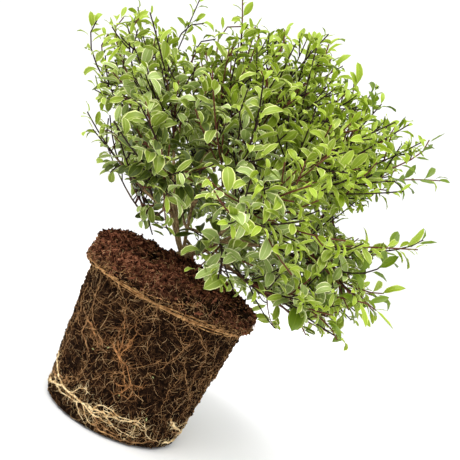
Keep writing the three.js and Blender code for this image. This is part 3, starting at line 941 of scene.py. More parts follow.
# %% Reach of the crown
HEART = np.array((-0.004, 0.0, 0.166))
REACH_RIGHT = [(-15, 0.156), (-9, 0.178), (6, 0.200), (21, 0.228), (47, 0.262), (63, 0.248), (90, 0.244)]
REACH_LEFT = [
    (-15, 0.050), (8, 0.080), (16, 0.116), (24, 0.148),
    (30, 0.182), (40, 0.254), (52, 0.242), (90, 0.244),
]
REACH_DEEP = 0.168
FRONT_TAPER = 0.36
BULK_RIGHT = [
    (-20, 0.070), (-14, 0.105), (-8, 0.148), (-2, 0.160), (8, 0.188), (16, 0.160), (24, 0.192),
    (29, 0.212), (35, 0.154), (41, 0.192), (47, 0.238), (58, 0.222), (70, 0.222), (82, 0.238), (90, 0.230),
]
BULK_LEFT = [
    (-15, 0.030), (8, 0.034), (15, 0.048), (21, 0.074), (27, 0.122), (32, 0.172), (38, 0.186),
    (44, 0.222), (50, 0.224), (56, 0.212), (62, 0.180), (68, 0.190), (74, 0.208), (90, 0.228),
]
HOLLOW_HEADING = direction(-101, 35)  # between the left sheaf and the rest, where it is dark
HOLLOW_DEPTH = 0.32
HOLLOW_SPREAD = 0.07
LOWEST_LEAF = 0.131
BESIDE_BALL = RIM_RADIUS + 5 * MM
OVER_SOIL = SOIL_TOP + 8 * MM
FRONT_SLOPE = 0.1  # the lowest leaves are higher in front


def crown_reach(azimuth, elevation, right=REACH_RIGHT, left=REACH_LEFT):
    heading = direction(azimuth, elevation)
    seen_from = math.degrees(math.atan2(heading[2], abs(heading[0])))
    outline = read_off(left if heading[0] < 0 else right, seen_from)
    narrowed = outline * (1 + FRONT_TAPER * min(heading[1], 0))
    return 1 / math.hypot(math.hypot(heading[0], heading[2]) / narrowed, heading[1] / REACH_DEEP)


def seen_from_heart(point):
    """Azimuth, elevation and distance of a point"""
    out = point - HEART
    distance = float(np.linalg.norm(out))
    azimuth = math.degrees(math.atan2(out[1], out[0]))
    return azimuth, math.degrees(math.asin(out[2] / max(distance, MM))), distance


def hollow_share(azimuth, elevation):
    """1 in the middle of the hollow, fading to 0 round it"""
    into = float(np.dot(direction(azimuth, elevation), HOLLOW_HEADING))
    return math.exp((into - 1) / HOLLOW_SPREAD)


def bulk_reach(azimuth, elevation):
    """Where most of the foliage ends: the finer outline, with the hollow in the front"""
    hollow = HOLLOW_DEPTH * hollow_share(azimuth, elevation)
    return crown_reach(azimuth, elevation, BULK_RIGHT, BULK_LEFT) * (1 - hollow)


def in_crown(point, reach=crown_reach, slack=1.0):
    azimuth, elevation, distance = seen_from_heart(point)
    if distance > reach(azimuth, elevation) * slack:
        return False
    beside = math.hypot(point[0], point[1]) > BESIDE_BALL
    return point[2] > (LOWEST_LEAF - FRONT_SLOPE * point[1] if beside else OVER_SOIL)


reaches = [round(crown_reach(*turn), 3) for turn in ((0, 20), (0, 90), (-90, 0))]
print("reach to the right, up and front:", reaches)

# %% Masses of foliage
CENTRE_SHARE = 0.62  # of the way from the heart to the outline, where a mass has its centre
ENTRY_SHARE = 0.3  # and where it begins at the nearest
RINGS = [  # name, elevation and azimuths of the masses
    ("skirt", -6, (-27, 20, 70)),
    ("lower", 22, (-112, -67, -22, 23, 68, 113, 158, 203)),
    ("upper", 48, (-90, -39, 13, 64, 116, 167, 219)),
    ("top", 74, (-60, 30, 120, 210)),
]
HANGING = [  # name, its stem, where it leaves that, the bend and the tip
    ("left", "front_left", 0.42, (-0.052, -0.034, 0.190), (-0.046, -0.038, 0.162)),
    ("front", "front_right", 0.3, (0.024, -0.084, 0.188), (0.032, -0.094, 0.150)),
]


class Mass:
    """One leafy mass: where it heads and ends, and the space that is its own"""

    def __init__(self, name, ring, key, centre, tip):
        self.name, self.ring, self.key, self.centre, self.tip = name, ring, key, centre, tip
        self.limb = None

    def room(self, point):
        """How far a point is inside this mass's own space"""
        return float(np.min(self.offsets - self.across @ point))


masses = []
for ring, elevation, azimuths in RINGS:
    for i, azimuth in enumerate(azimuths):
        heading, reach = direction(azimuth, elevation), crown_reach(azimuth, elevation)
        centre = HEART + heading * reach * CENTRE_SHARE
        mass = Mass(f"{ring}_{i + 1}", ring, elevation + i * 17, centre, HEART + heading * reach)
        mass.azimuth, mass.heading, mass.reach = azimuth, heading, reach
        masses.append(mass)
crown_masses = list(masses)
for i, (name, stem, share, bend, tip) in enumerate(HANGING):
    bend, tip = np.array(bend), np.array(tip)
    mass = Mass(f"hanging_{name}", "hanging", 300 + 40 * i, (bend + tip) / 2, tip)
    mass.stem, mass.share, mass.bend = stem, share, bend
    masses.append(mass)
for mass in masses:
    others = [other for other in masses if other is not mass]
    mass.across = np.array([unit(other.centre - mass.centre) for other in others])
    middles = np.array([(other.centre + mass.centre) / 2 for other in others])
    mass.offsets = np.sum(mass.across * middles, axis=1)
print(len(masses), "masses")

# %% [markdown]
# ## Trunk
# The trunk is a short thick foot that parts into the stems almost at once. It starts as a
# cylinder, is cut into rings, and each ring is resized: wide at the soil, narrow above.
# Alternate sides of the foot are pulled out into low root flares.

# %% Trunk
FOOT_RADIUS = 0.0080
TRUNK_RADIUS = 0.0052
TRUNK_TOP = 0.164
TRUNK_CUTS = 11
TRUNK_NARROWING = 2.4 * MM  # from the foot to the top
FLARES = 5
GAP = 0.0004

trunk_foot = SOIL_TOP + GAP
trunk_height = TRUNK_TOP - trunk_foot
trunk_cuts = [trunk_foot + trunk_height * i / TRUNK_CUTS for i in range(1, TRUNK_CUTS)]
deselect()
bpy.ops.mesh.primitive_cylinder_add(
    vertices=40, radius=1, depth=trunk_height, location=(HEART[0], HEART[1], trunk_foot + trunk_height / 2)
)
trunk = bpy.context.object
trunk.name = "trunk_bark"
bpy.ops.object.transform_apply(location=True, rotation=True, scale=True)
edit(trunk)
for cut in trunk_cuts:
    bpy.ops.mesh.select_all(action="SELECT")
    bpy.ops.mesh.bisect(plane_co=(0, 0, cut), plane_no=(0, 0, 1))
for i in range(TRUNK_CUTS + 1):
    share = i / TRUNK_CUTS
    cut = trunk_foot + trunk_height * share
    pick(trunk, lambda place: abs(place.z - cut) < 0.2 * MM)
    wide = TRUNK_RADIUS + (FOOT_RADIUS - TRUNK_RADIUS) * (1 - share) ** 3 - TRUNK_NARROWING * share**2
    bpy.ops.transform.resize(value=(wide, wide, 1), center_override=(HEART[0], HEART[1], cut))
cage = bmesh.from_edit_mesh(trunk.data)
for corner in cage.verts:
    around = math.atan2(corner.co.y - HEART[1], corner.co.x - HEART[0])
    low = max(0.0, 1 - (corner.co.z - trunk_foot) / (0.7 * trunk_height))
    swell = 1 + 0.16 * low**1.5 * math.sin(FLARES * around + 0.6) + 0.05 * math.sin(3 * around)
    corner.co.x = HEART[0] + (corner.co.x - HEART[0]) * swell
    corner.co.y = HEART[1] + (corner.co.y - HEART[1]) * swell
bmesh.update_edit_mesh(trunk.data)
done_editing()
print("trunk is", round(trunk_height / MM, 1), "mm tall")

# %% [markdown]
# ## Relief of the bark
# A limb is unwrapped by its own line: U runs round it and V along it, in metres, so the
# bark has the same scale on thick and thin wood. The relief is a Displace modifier on a
# texture that is read through that map.


# %% Unwrap and roughen a limb
def unwrap(piece, path):
    """Writes the UV map of a limb round a path: U round it and V along it, in metres"""
    path = np.asarray(path)
    steps = np.concatenate(([0], np.cumsum(np.linalg.norm(np.diff(path, axis=0), axis=1))))
    forward, sides = frames(path, unit(np.cross(unit(path[1] - path[0]), (0.3, 0.9, 0.1))))
    corners, faces = shape_of(piece)
    nearest = np.argmin(np.linalg.norm(corners[:, None] - path[None], axis=2), axis=1)
    off = corners - path[nearest]
    sides, tangents = sides[nearest], forward[nearest]
    lengthwise = np.sum(off * tangents, axis=1)
    across = np.cross(tangents, sides)
    around = np.arctan2(np.sum(off * across, axis=1), np.sum(off * sides, axis=1))
    typical = float(np.median(np.linalg.norm(off - tangents * lengthwise[:, None], axis=1)))
    along = steps[nearest] + lengthwise
    layer = piece.data.uv_layers.new(name="along_the_limb")
    for polygon, face in zip(piece.data.polygons, faces):
        turns = around[list(face)]
        if turns.max() - turns.min() > math.pi:
            turns = np.where(turns < 0, turns + 2 * math.pi, turns)
        for loop, turn, corner in zip(polygon.loop_indices, turns, face):
            layer.data[loop].uv = (turn * typical, along[corner])


bark_lumps = lump_texture("bark_lumps", "CLOUDS", 0.0028, noise_depth=2)
bark_rings = lump_texture("bark_rings", "CLOUDS", 0.009, noise_depth=1)


def roughen(piece, path, fine, broad):
    unwrap(piece, path)
    displace(piece, bark_lumps, fine)
    displace(piece, bark_rings, broad)
    coat(piece, bark)


trunk_path = [(HEART[0], HEART[1], trunk_foot + trunk_height * share) for share in np.linspace(0, 1, 12)]
roughen(trunk, trunk_path, 0.0007, 0.0012)
hand_over(trunk, "bark", "trunk")

# %% [markdown]
# ## Stems and boughs
# Each limb is a bent line that arches out from its parent and up to the mass it feeds. A
# Bezier curve is that line: two ends with a radius each, and handles that give the bend.
# The curve's own bevel makes the round skin, and it is then made a mesh, subdivided and
# given the bark's relief.


# %% A line read by its length
class Line:
    """A smooth bend from start to end, read at a share of its length"""

    def __init__(self, start, middle, end):
        self.start, self.middle, self.end = (np.array(point, float) for point in (start, middle, end))
        share = np.linspace(0, 1, 41)[:, None]
        self.points = (
            (1 - share) ** 2 * self.start + 2 * share * (1 - share) * self.middle + share**2 * self.end
        )
        steps = np.linalg.norm(np.diff(self.points, axis=0), axis=1)
        self.lengths = np.concatenate(([0], np.cumsum(steps)))
        self.length = float(self.lengths[-1])

    def at(self, share):
        place = share * self.length
        return np.array([np.interp(place, self.lengths, self.points[:, axis]) for axis in range(3)])

    def ahead(self, share):
        return unit(self.at(min(share + 0.02, 1)) - self.at(max(share - 0.02, 0)))


def arched(start, end, rise):
    """A limb's line: it leaves outwards and arches up to its end"""
    out = end - start
    bend = np.array((out[0] * rise / 2, out[1] * rise / 2, -rise * math.hypot(out[0], out[1])))
    return Line(start, (start + end) / 2 + bend, end)


def entry_point(mass):
    """Where a mass begins, on its line from the heart, well inside its own space"""
    share = ENTRY_SHARE
    while share < CENTRE_SHARE:
        point = HEART + mass.heading * mass.reach * share
        if mass.room(point) > 3 * MM:
            return point
        share += 0.02
    return mass.centre.copy()


print("a line reads its middle at", Line((0, 0, 0), (1, 0, 0), (1, 1, 0)).at(0.5).round(3))

# %% A limb's skin
LIMB_TIP_RADIUS = 0.00125
limb_lines = []


def make_limb(name, line, root_radius, fineness):
    """Bark round a line, from its root radius to the tip's"""
    deselect()
    bpy.ops.curve.primitive_bezier_curve_add(location=(0, 0, 0))
    curve = bpy.context.object
    curve.name = name
    curve.data.dimensions = "3D"
    first, last = curve.data.splines[0].bezier_points
    for point, place, radius in ((first, line.start, root_radius), (last, line.end, LIMB_TIP_RADIUS)):
        point.handle_left_type = point.handle_right_type = "FREE"
        point.co = place
        point.radius = radius
        toward = Vector(place) + (Vector(line.middle) - Vector(place)) * (2 / 3)
        point.handle_left = point.handle_right = toward
    first.handle_left = Vector(line.start) * 2 - first.handle_right
    last.handle_right = Vector(line.end) * 2 - last.handle_left
    curve.data.bevel_depth = 1.0
    curve.data.bevel_resolution = 4
    curve.data.resolution_u = 26
    curve.data.use_fill_caps = True
    bpy.ops.object.convert(target="MESH")
    limb = bpy.context.object
    edit(limb)
    done_editing(turn_outwards=True)
    for layer in list(limb.data.uv_layers):
        limb.data.uv_layers.remove(layer)
    apply_modifier(limb, "SUBSURF", levels=fineness, render_levels=fineness)
    roughen(limb, line.points, 0.25 * root_radius, 0.3 * root_radius)
    limb_lines.append((line, root_radius))
    return limb


print("limbs end", LIMB_TIP_RADIUS / MM, "mm thick at the radius")

# %% Stems
STEMS = {"left": 167, "front_left": 219, "front_right": -39, "right": 13, "back": 116}
STEM_ROOT_RADIUS = 0.0020


def turn_between(a, b):
    return abs((a - b + 540) % 360 - 180)


stems = {}
for name, azimuth in STEMS.items():
    mass = min((m for m in masses if m.ring == "upper"), key=lambda m: turn_between(m.azimuth, azimuth))
    mass.entry = entry_point(mass)
    start = HEART + direction(azimuth, 0) * 3.4 * MM
    start[2] = trunk_foot + 3 * MM
    mass.limb = arched(start, mass.entry, 0.1)
    stems[name] = (azimuth, mass.limb)
    stem = make_limb(f"stem_{name}_bark", mass.limb, STEM_ROOT_RADIUS, 2)
    hand_over(stem, "bark", f"stem_{name}")

# %% Boughs
BOUGH_START = {"skirt": 0.26, "lower": 0.42, "upper": 0.5, "top": 0.62}
BOUGH_ROOT_RADIUS = 0.0016

for mass in crown_masses:
    if mass.limb:
        continue
    mass.entry = entry_point(mass)
    _, stem_line = min(stems.values(), key=lambda stem: turn_between(stem[0], mass.azimuth))
    share = BOUGH_START[mass.ring] + 0.1 * (chance(mass.key, 3) - 0.5)
    mass.limb = arched(stem_line.at(share), mass.entry, 0.15 if mass.ring == "top" else 0.06)
    bough = make_limb(f"bough_{mass.name}_bark", mass.limb, BOUGH_ROOT_RADIUS, 1)
    hand_over(bough, "bark", f"bough_{mass.name}")

# %% [markdown]
# ## Thin places and openings
# The foliage isn't equally thick. It is thin low at both sides, over the rim and in the
# sheaf at the left, and at some places the front shows clear sky between the leaves. So a
# share of the twigs and leaves is left out there, and all that would stand before one of
# the openings. From the other sides the crown is fuller.

# %% Where the foliage is thin
SPARSE_LOW_LEFT = 0.84  # the shares of the side twigs that are left out
SPARSE_LEFT = 0.74
SPARSE_SHEAF = 0.46
SPARSE_RIGHT = 0.62
SPARSE_BY_RIM = 0.68
SPARSE_BESIDE_RIM = 0.95
SPARSE_EDGE = 0.22
SPARSE_SHOOTS = 0.7  # times that share, as shoots and inner leaves are left out less often
SPARSE_LEAVES = 0.6
BESIDE_RIM = 0.118
SHEAF_FROM = 0.14
EDGE_FROM = 0.82  # of the way to where most of the foliage ends
OPENINGS = [  # x, z and radius in the plane of the trunk, in millimetres, as the front shows them
    (-85, 183, 9), (-82, 172, 10), (-72, 174, 9), (-77, 156, 11), (-66, 160, 8),
    (124, 250, 8), (135, 249, 9), (148, 253, 9), (144, 189, 8), (87, 144, 9), (104, 148, 10),
    (14, 381, 9), (41, 158, 8), (33, 162, 7),
]

limb_points = np.vstack([line.points[::3] for line, _ in limb_lines])
limb_radii = [np.linspace(root, LIMB_TIP_RADIUS, len(line.points[::3])) for line, root in limb_lines]
limb_thickness = np.concatenate(limb_radii)


def limb_clearance(point):
    return float(np.min(np.linalg.norm(limb_points - point, axis=1) - limb_thickness))


def in_opening(point):
    """Whether the front shows this point in one of the openings"""
    eye = np.array(CAMERA_PLACE)
    seen = (eye + (point - eye) * eye[1] / (eye[1] - point[1])) / MM
    return any(math.hypot(seen[0] - x, seen[2] - z) < radius for x, z, radius in OPENINGS)


def sparse_share(place):
    """How thin the foliage is here: low at both sides, over the rim, in the sheaf, at the edge"""
    across, up = place[0] - HEART[0], place[2] - HEART[2]
    off = math.hypot(across, up)
    seen_from = math.degrees(math.atan2(up, abs(across)))
    if across < 0 and seen_from < 30:
        return SPARSE_LEFT if seen_from > 22 else SPARSE_LOW_LEFT
    if across < 0 and seen_from < 64 and off > SHEAF_FROM:
        return SPARSE_SHEAF
    if across > 0 and seen_from < -8 and off < BESIDE_RIM:
        return SPARSE_BESIDE_RIM
    if across > 0 and seen_from < 5:
        return SPARSE_BY_RIM if off < RIM_RADIUS else SPARSE_RIGHT
    azimuth, elevation, distance = seen_from_heart(place)
    return SPARSE_EDGE if distance > EDGE_FROM * bulk_reach(azimuth, elevation) else 0


print(len(limb_points), "points of the limbs,", len(OPENINGS), "openings")

# %% [markdown]
# ## Twigs
# Inside a mass the bough runs on as a leader, with shoots that fan out from it to the
# crown's outline. The solids stop there. The living plant goes one step finer: every shoot
# carries short side twigs, and those carry most of the leaves. The two sprays that hang
# over the ball are clear to see, so their forks are placed one by one.

# %% Twigs and their lines
LEADER, SHOOT, SIDE_TWIG, LONG_SHOOT = 0, 1, 2, -1  # the ranks of a twig
TWIG_TIP_RADIUS = 0.00058
SIDE_TWIG_RADIUS = 0.0007
GOLDEN_ANGLE = 137.508
FAN_ANGLE = 23
SHOOTS = 6
EXTRA_SHOOTS = 6
LONG_SHARE = 0.45  # of the shoots pass the bulk of the foliage
CELL_OVERLAP = 0.007  # twigs and leaves may cross this far into the next mass's space


class Twig:
    """One twig: its line and thickness, where its leaves begin, and its rank"""

    def __init__(self, line, root_radius, key, leafy_from, rank):
        self.line, self.root_radius, self.key = line, root_radius, key
        self.leafy_from, self.rank = leafy_from, rank

    def radius(self, share):
        return self.root_radius + (TWIG_TIP_RADIUS - self.root_radius) * share**0.8


def bent_twig(start, tip):
    middle = (start + tip) / 2 - UP * 0.09 * np.linalg.norm(tip - start)
    return Line(start, middle, tip)


def round_about(line, share, index, start):
    """The way ahead on a line and the way out of it, a golden angle on with each index"""
    forward = line.ahead(share)
    level = unit(np.cross(UP, forward) + 1e-6)
    return forward, turned(level, forward, index * GOLDEN_ANGLE + start)


def shoot_tip(mass, j):
    """The tip of one shoot: fanned round the mass's middle, drawn in until it has room"""
    long = j < SHOOTS and chance(mass.key, j, 14) < LONG_SHARE
    ring = (j + 0.6) / SHOOTS if j < SHOOTS else (j - SHOOTS + 0.35) / EXTRA_SHOOTS
    across = unit(np.cross(UP, mass.heading))
    heading = turned(mass.heading, across, FAN_ANGLE * math.sqrt(ring))
    heading = turned(heading, mass.heading, j * GOLDEN_ANGLE + 360 * chance(mass.key, 11))
    azimuth = math.degrees(math.atan2(heading[1], heading[0]))
    elevation = math.degrees(math.asin(heading[2]))
    outline = crown_reach if long else bulk_reach
    reach = outline(azimuth, elevation) * (0.93 + 0.09 * chance(mass.key, j, 12))
    share = 1.0
    while share > 0.4:
        tip = HEART + heading * reach * share
        if mass.room(tip) > 5 * MM - CELL_OVERLAP and in_crown(tip, outline):
            return tip
        share -= 0.04
    return None


print("the fan's angle is", FAN_ANGLE, "degrees at the outermost shoot")

# %% How twigs grow
LEAFY_FROM = 0.16  # of a twig's length
SIDE_TWIG_SPACING = 0.0135
SIDE_TWIG_STRETCH = (0.14, 0.93)  # of the parent's length
SIDE_TWIG_RISE = 0.16  # of its reach
SIDE_TWIG_TRIES = 3
SHORTER = 0.65  # with each try
CLEAR_OF_LIMBS = 4 * MM
HANGING_FORKS = {  # where along the spray each fork leaves it, and its tip in millimetres
    "hanging_left": [(0.4, (-53, -38, 177)), (0.55, (-46, -38, 161)), (0.7, (-33, -38, 158))],
    "hanging_front": [
        (0.26, (-4, -48, 176)), (0.4, (51, -92, 170)), (0.46, (64, -92, 154)), (0.5, (10, -84, 158)),
        (0.56, (47, -94, 147)), (0.62, (14, -86, 148)), (0.8, (38, -92, 144)),
    ],
}


def side_twigs(parent, mass):
    """Short twigs one golden angle apart round their parent, shorter towards its tip"""
    made = []
    length = parent.line.length
    first, last = SIDE_TWIG_STRETCH
    at, index = max(first * length, 0.01), 0
    while at < last * length:
        share = at / length
        at += SIDE_TWIG_SPACING * (0.7 + 0.6 * chance(parent.key, index, 61))
        index += 1
        forward, outward = round_about(parent.line, share, index, 360 * chance(parent.key, 62))
        heading = leaning(forward, outward, 34 + 20 * chance(parent.key, index, 63))
        reach = (0.056 - 0.032 * share) * (0.6 + 0.7 * chance(parent.key, index, 64))
        start = parent.line.at(share)
        key = parent.key + 7.3 * (index + 1)
        for _ in range(SIDE_TWIG_TRIES):
            tip = start + heading * reach + UP * SIDE_TWIG_RISE * reach
            free = mass.room(tip) > -CELL_OVERLAP and limb_clearance(tip) > CLEAR_OF_LIMBS
            if free and in_crown(tip, bulk_reach):
                if chance(key, 76) >= sparse_share(tip) and not in_opening(tip):
                    made.append(Twig(bent_twig(start, tip), SIDE_TWIG_RADIUS, key, LEAFY_FROM, SIDE_TWIG))
                break
            reach *= SHORTER
    return made


def hanging_spray(mass):
    """A spray over the ball and its forks"""
    line = Line(stems[mass.stem][1].at(mass.share), mass.bend, mass.tip)
    made = [Twig(line, LIMB_TIP_RADIUS, mass.key, 0.35, SHOOT)]
    for i, (share, tip) in enumerate(HANGING_FORKS[mass.name]):
        fork = bent_twig(line.at(share), np.array(tip) * MM)
        made.append(Twig(fork, SIDE_TWIG_RADIUS, mass.key + 5.1 * (i + 1), 0.2, SIDE_TWIG))
    return made


def grow(mass):
    """All the twigs of a mass, from its leader out to the finest"""
    forward = mass.limb.ahead(1)
    start = mass.entry + forward * 0.05 * MM
    bend = start + forward * 0.4 * np.linalg.norm(mass.tip - start)
    leader = Twig(Line(start, bend, mass.tip), LIMB_TIP_RADIUS, mass.key, 0.12, LEADER)
    made = [leader]
    for j in range(SHOOTS + EXTRA_SHOOTS):
        tip = shoot_tip(mass, j)
        if tip is None or in_opening(tip) or chance(mass.key, j, 15) < SPARSE_SHOOTS * sparse_share(tip):
            continue
        share = 0.08 + 0.4 * (j % SHOOTS) / SHOOTS + 0.03 * (j // SHOOTS)
        line = bent_twig(leader.line.at(share), tip)
        made.append(Twig(line, 0.75 * leader.radius(share), mass.key + 31 * (j + 1), LEAFY_FROM, SHOOT))
    for parent in list(made):
        made += side_twigs(parent, mass)
    return made


for mass in masses:
    mass.twigs = hanging_spray(mass) if mass.ring == "hanging" else grow(mass)
print(sum(len(mass.twigs) for mass in masses), "twigs")

# %% [markdown]
# ## The long shoots
# From the front the crown's edge is made by some thirty young shoots that stand well clear
# of the rest: a tall sheaf at the left, single ones over the top, and a fan to the right.
# Their places can be read off, so they are set one by one, as a tip and a point lower down
# in millimetres. Each grows from the nearest leader and passes through its lower point.

# %% Long shoots, placed one by one
LONG_SHOOTS = [
    ((-177, -10, 324), (-150, -10, 273)), ((-170, 10, 322), (-149, 10, 280)),
    ((-159, 0, 340), (-145, 0, 300)), ((-139, -20, 340), (-124, -20, 291)),
    ((-120, 10, 348), (-112, 10, 300)), ((-86, 20, 378), (-106, 20, 338)),
    ((-30, 20, 391), (-70, 20, 361)),
    ((-64, -10, 356), (-76, -10, 316)), ((-45, -30, 354), (-38, -30, 330)),
    ((-42, 0, 389), (-34, 0, 350)), ((-14, -10, 394), (-8, -10, 352)),
    ((19, 10, 407), (17, 10, 360)), ((31, -20, 395), (29, -20, 350)),
    ((49, 20, 403), (39, 20, 358)), ((67, -20, 375), (62, -20, 335)),
    ((92, 10, 394), (78, 10, 351)), ((102, -10, 370), (90, -10, 328)),
    ((119, -30, 347), (105, -30, 312)), ((161, 0, 363), (140, 0, 318)),
    ((207, 45, 344), (160, 45, 322)), ((155, -20, 297), (125, -20, 290)),
    ((189, -25, 265), (150, -25, 232)), ((159, -50, 230), (126, -50, 200)),
    ((177, -30, 202), (138, -30, 194)), ((167, -60, 183), (132, -60, 180)),
    ((173, 0, 176), (134, 0, 176)), ((148, -60, 144), (110, -60, 159)),
    ((128, -40, 135), (98, -40, 150)), ((-116, 0, 194), (-88, 0, 206)),
    ((-98, -30, 184), (-76, -30, 204)), ((-139, 20, 222), (-118, 20, 230)),
]
TIP_ROSETTE = 0.009  # leaves at the tip stand this far past the wood
LONG_SHOOT_RADIUS = 0.0013
SHOOT_TWIGS = 0.7  # of the side twigs stay on a long shoot


def place_shoot(tip, lower, key):
    """A long shoot through a lower point, grown from the nearest leader or limb"""
    tip, lower = np.array(tip) * MM, np.array(lower) * MM
    tip = tip - unit(tip - lower) * TIP_ROSETTE
    wanted = lower + 0.4 * (HEART - lower)
    parents = [mass.twigs[0].line for mass in crown_masses] + [mass.limb for mass in crown_masses]
    starts = [line.at(share) for line in parents for share in np.linspace(0.1, 0.95, 12)]
    start = min(starts, key=lambda point: np.linalg.norm(point - wanted))
    line = Line(start, 2 * lower - 0.5 * (start + tip), tip)
    return Twig(line, LONG_SHOOT_RADIUS, key, 0.22, LONG_SHOOT)


for i, (tip, lower) in enumerate(LONG_SHOOTS):
    shoot = place_shoot(tip, lower, 900 + 13 * i)
    owner = max(crown_masses, key=lambda mass: mass.room(shoot.line.at(0.6)))
    owner.twigs.append(shoot)
    owner.twigs += [twig for twig in side_twigs(shoot, owner) if chance(twig.key, 67) < SHOOT_TWIGS]
print(len(LONG_SHOOTS), "long shoots")

# %% [markdown]
# Each ring's twigs are joined into one piece. The oldest wood is tan, the young wood is a
# dark purple-brown or red-brown, and the last stretch of a shoot is green.

# %% Twigs joined by ring
TWIG_FINISHES = [
    plain_finish("old_twig", (98, 74, 52), 0.8, 0.3),
    plain_finish("dark_twig", (42, 25, 20), 0.7, 0.2),
    plain_finish("red_twig", (92, 52, 36), 0.7, 0.2),
    plain_finish("green_twig", (122, 128, 62), 0.6, 0.4),
]
OLD, DARK, RED, GREEN = range(len(TWIG_FINISHES))
TWIG_SIDES = 5
RING_NAMES = ("skirt", "lower", "upper", "top", "hanging")


def twig_look(twig, share):
    if twig.rank == LEADER and share < 0.45:
        return OLD
    if share > 0.9:
        return GREEN
    return RED if chance(twig.key, 66) < 0.35 else DARK


def twig_skin(twig):
    """Corners, faces and looks of a twig"""
    shares = np.linspace(0, 1, 5 if twig.rank == SIDE_TWIG else 10)
    path = [twig.line.at(share) for share in shares]
    corners, faces = tube(path, [twig.radius(share) for share in shares], TWIG_SIDES)
    looks = [twig_look(twig, shares[i // TWIG_SIDES]) for i in range(len(faces) - 2)]
    return corners, faces, looks + [looks[0], looks[-1]]


def ring_of(name):
    return [mass for mass in masses if mass.ring == name]


for name in RING_NAMES:
    heap = Heap(*TWIG_FINISHES)
    for mass in ring_of(name):
        for twig in mass.twigs:
            heap.add(*twig_skin(twig))
    hand_over(heap.piece(f"twigs_{name}"), "bark")

# %% [markdown]
# ## One leaf
# A leaf is 12 to 20 mm long and under half as wide: oval, broadest past its middle, with a
# thin cream margin that waves up and down and a shallow fold along its midrib. It leaves the
# twig upwards and curls back down, and hardly two do so alike. It starts as a grid of 6 by 5
# faces. The rows are set so that the outer strips are the margin and the middle one is the
# midrib, and each column is resized to the outline. Then each column is moved along a midrib
# that is an arc, and turned a little further than the one before, for the twist. Six such
# leaves are made, and all are copies.

# %% Leaf shapes
LEAF_COLUMNS = [  # places along the leaf, and the share of the width there
    (0.0, 0.035), (0.10, 0.06), (0.28, 0.34), (0.48, 0.48), (0.68, 0.47), (0.87, 0.30), (1.0, 0.02),
]
LEAF_STRIPS = 5
BLADE, MARGIN, MIDRIB = range(3)
STRIP_LOOKS = (MARGIN, BLADE, MIDRIB, BLADE, MARGIN)
MARGIN_SHARE = 0.81  # of the half width, where the green ends and the cream margin starts
MIDRIB_SHARE = 0.07
LEAF_WIDTH_SHARE = 0.43
RISING_SHARE = 0.25  # of the length, over which the leaf still rises


def leaf_place(place, bend, fold, wave, twist):
    """Where a corner of the flat leaf goes: folded, waved, twisted, and bent along an arc"""
    i = round((place.x + 0.5) * (len(LEAF_COLUMNS) - 1))
    along, half_width = LEAF_COLUMNS[i]
    lift = fold * 2 * abs(place.y) / LEAF_WIDTH_SHARE
    if abs(place.y) > 0.9 * half_width * LEAF_WIDTH_SHARE and half_width > 0.1:
        lift += wave * (1 if (i + (place.y > 0)) % 2 else -1)
    turn = math.radians(twist) * along
    across = place.y * math.cos(turn) - lift * math.sin(turn)
    lift = place.y * math.sin(turn) + lift * math.cos(turn)
    slope, rise = bend * (along - RISING_SHARE), bend * RISING_SHARE
    midrib_x = (math.sin(slope) + math.sin(rise)) / bend
    midrib_z = (math.cos(slope) - math.cos(rise)) / bend
    return (midrib_x + lift * math.sin(slope), across, midrib_z + lift * math.cos(slope))


def leaf_shape(curl, fold, wave, twist):
    """Corners, faces and looks of a leaf of length 1 along +X"""
    deselect()
    columns = len(LEAF_COLUMNS) - 1
    bpy.ops.mesh.primitive_grid_add(
        x_subdivisions=columns, y_subdivisions=LEAF_STRIPS, size=1, location=(0, 0, 0)
    )
    leaf = bpy.context.object
    edit(leaf)
    for row, share in ((0.1, MIDRIB_SHARE), (0.3, MARGIN_SHARE)):
        pick(leaf, lambda place: abs(abs(place.y) - row) < 0.01)
        bpy.ops.transform.resize(value=(1, 0.5 * share / row, 1), center_override=(0, 0, 0))
    for i, (_, half_width) in enumerate(LEAF_COLUMNS):
        column = i / columns - 0.5
        pick(leaf, lambda place: abs(place.x - column) < 0.01)
        wide = 2 * half_width * LEAF_WIDTH_SHARE
        bpy.ops.transform.resize(value=(1, wide, 1), center_override=(column, 0, 0))
    cage = bmesh.from_edit_mesh(leaf.data)
    for corner in cage.verts:
        corner.co = leaf_place(corner.co, math.radians(curl), fold, wave, twist)
    bmesh.update_edit_mesh(leaf.data)
    done_editing()
    corners, faces = shape_of(leaf)
    bpy.data.objects.remove(leaf)
    return corners, faces, [STRIP_LOOKS[min(face) // (columns + 1)] for face in faces]


LEAF_SHAPES = [
    leaf_shape(curl=28, fold=0.05, wave=0.012, twist=12),
    leaf_shape(curl=56, fold=0.07, wave=0.016, twist=-20),
    leaf_shape(curl=84, fold=0.06, wave=0.016, twist=26),
    leaf_shape(curl=68, fold=0.04, wave=0.020, twist=-10),
    leaf_shape(curl=-12, fold=0.07, wave=0.014, twist=-16),
    leaf_shape(curl=104, fold=0.09, wave=0.018, twist=-30),
]
print("a leaf has", len(LEAF_SHAPES[0][1]), "faces,", LEAF_SHAPES[0][2].count(MARGIN), "of them margin")
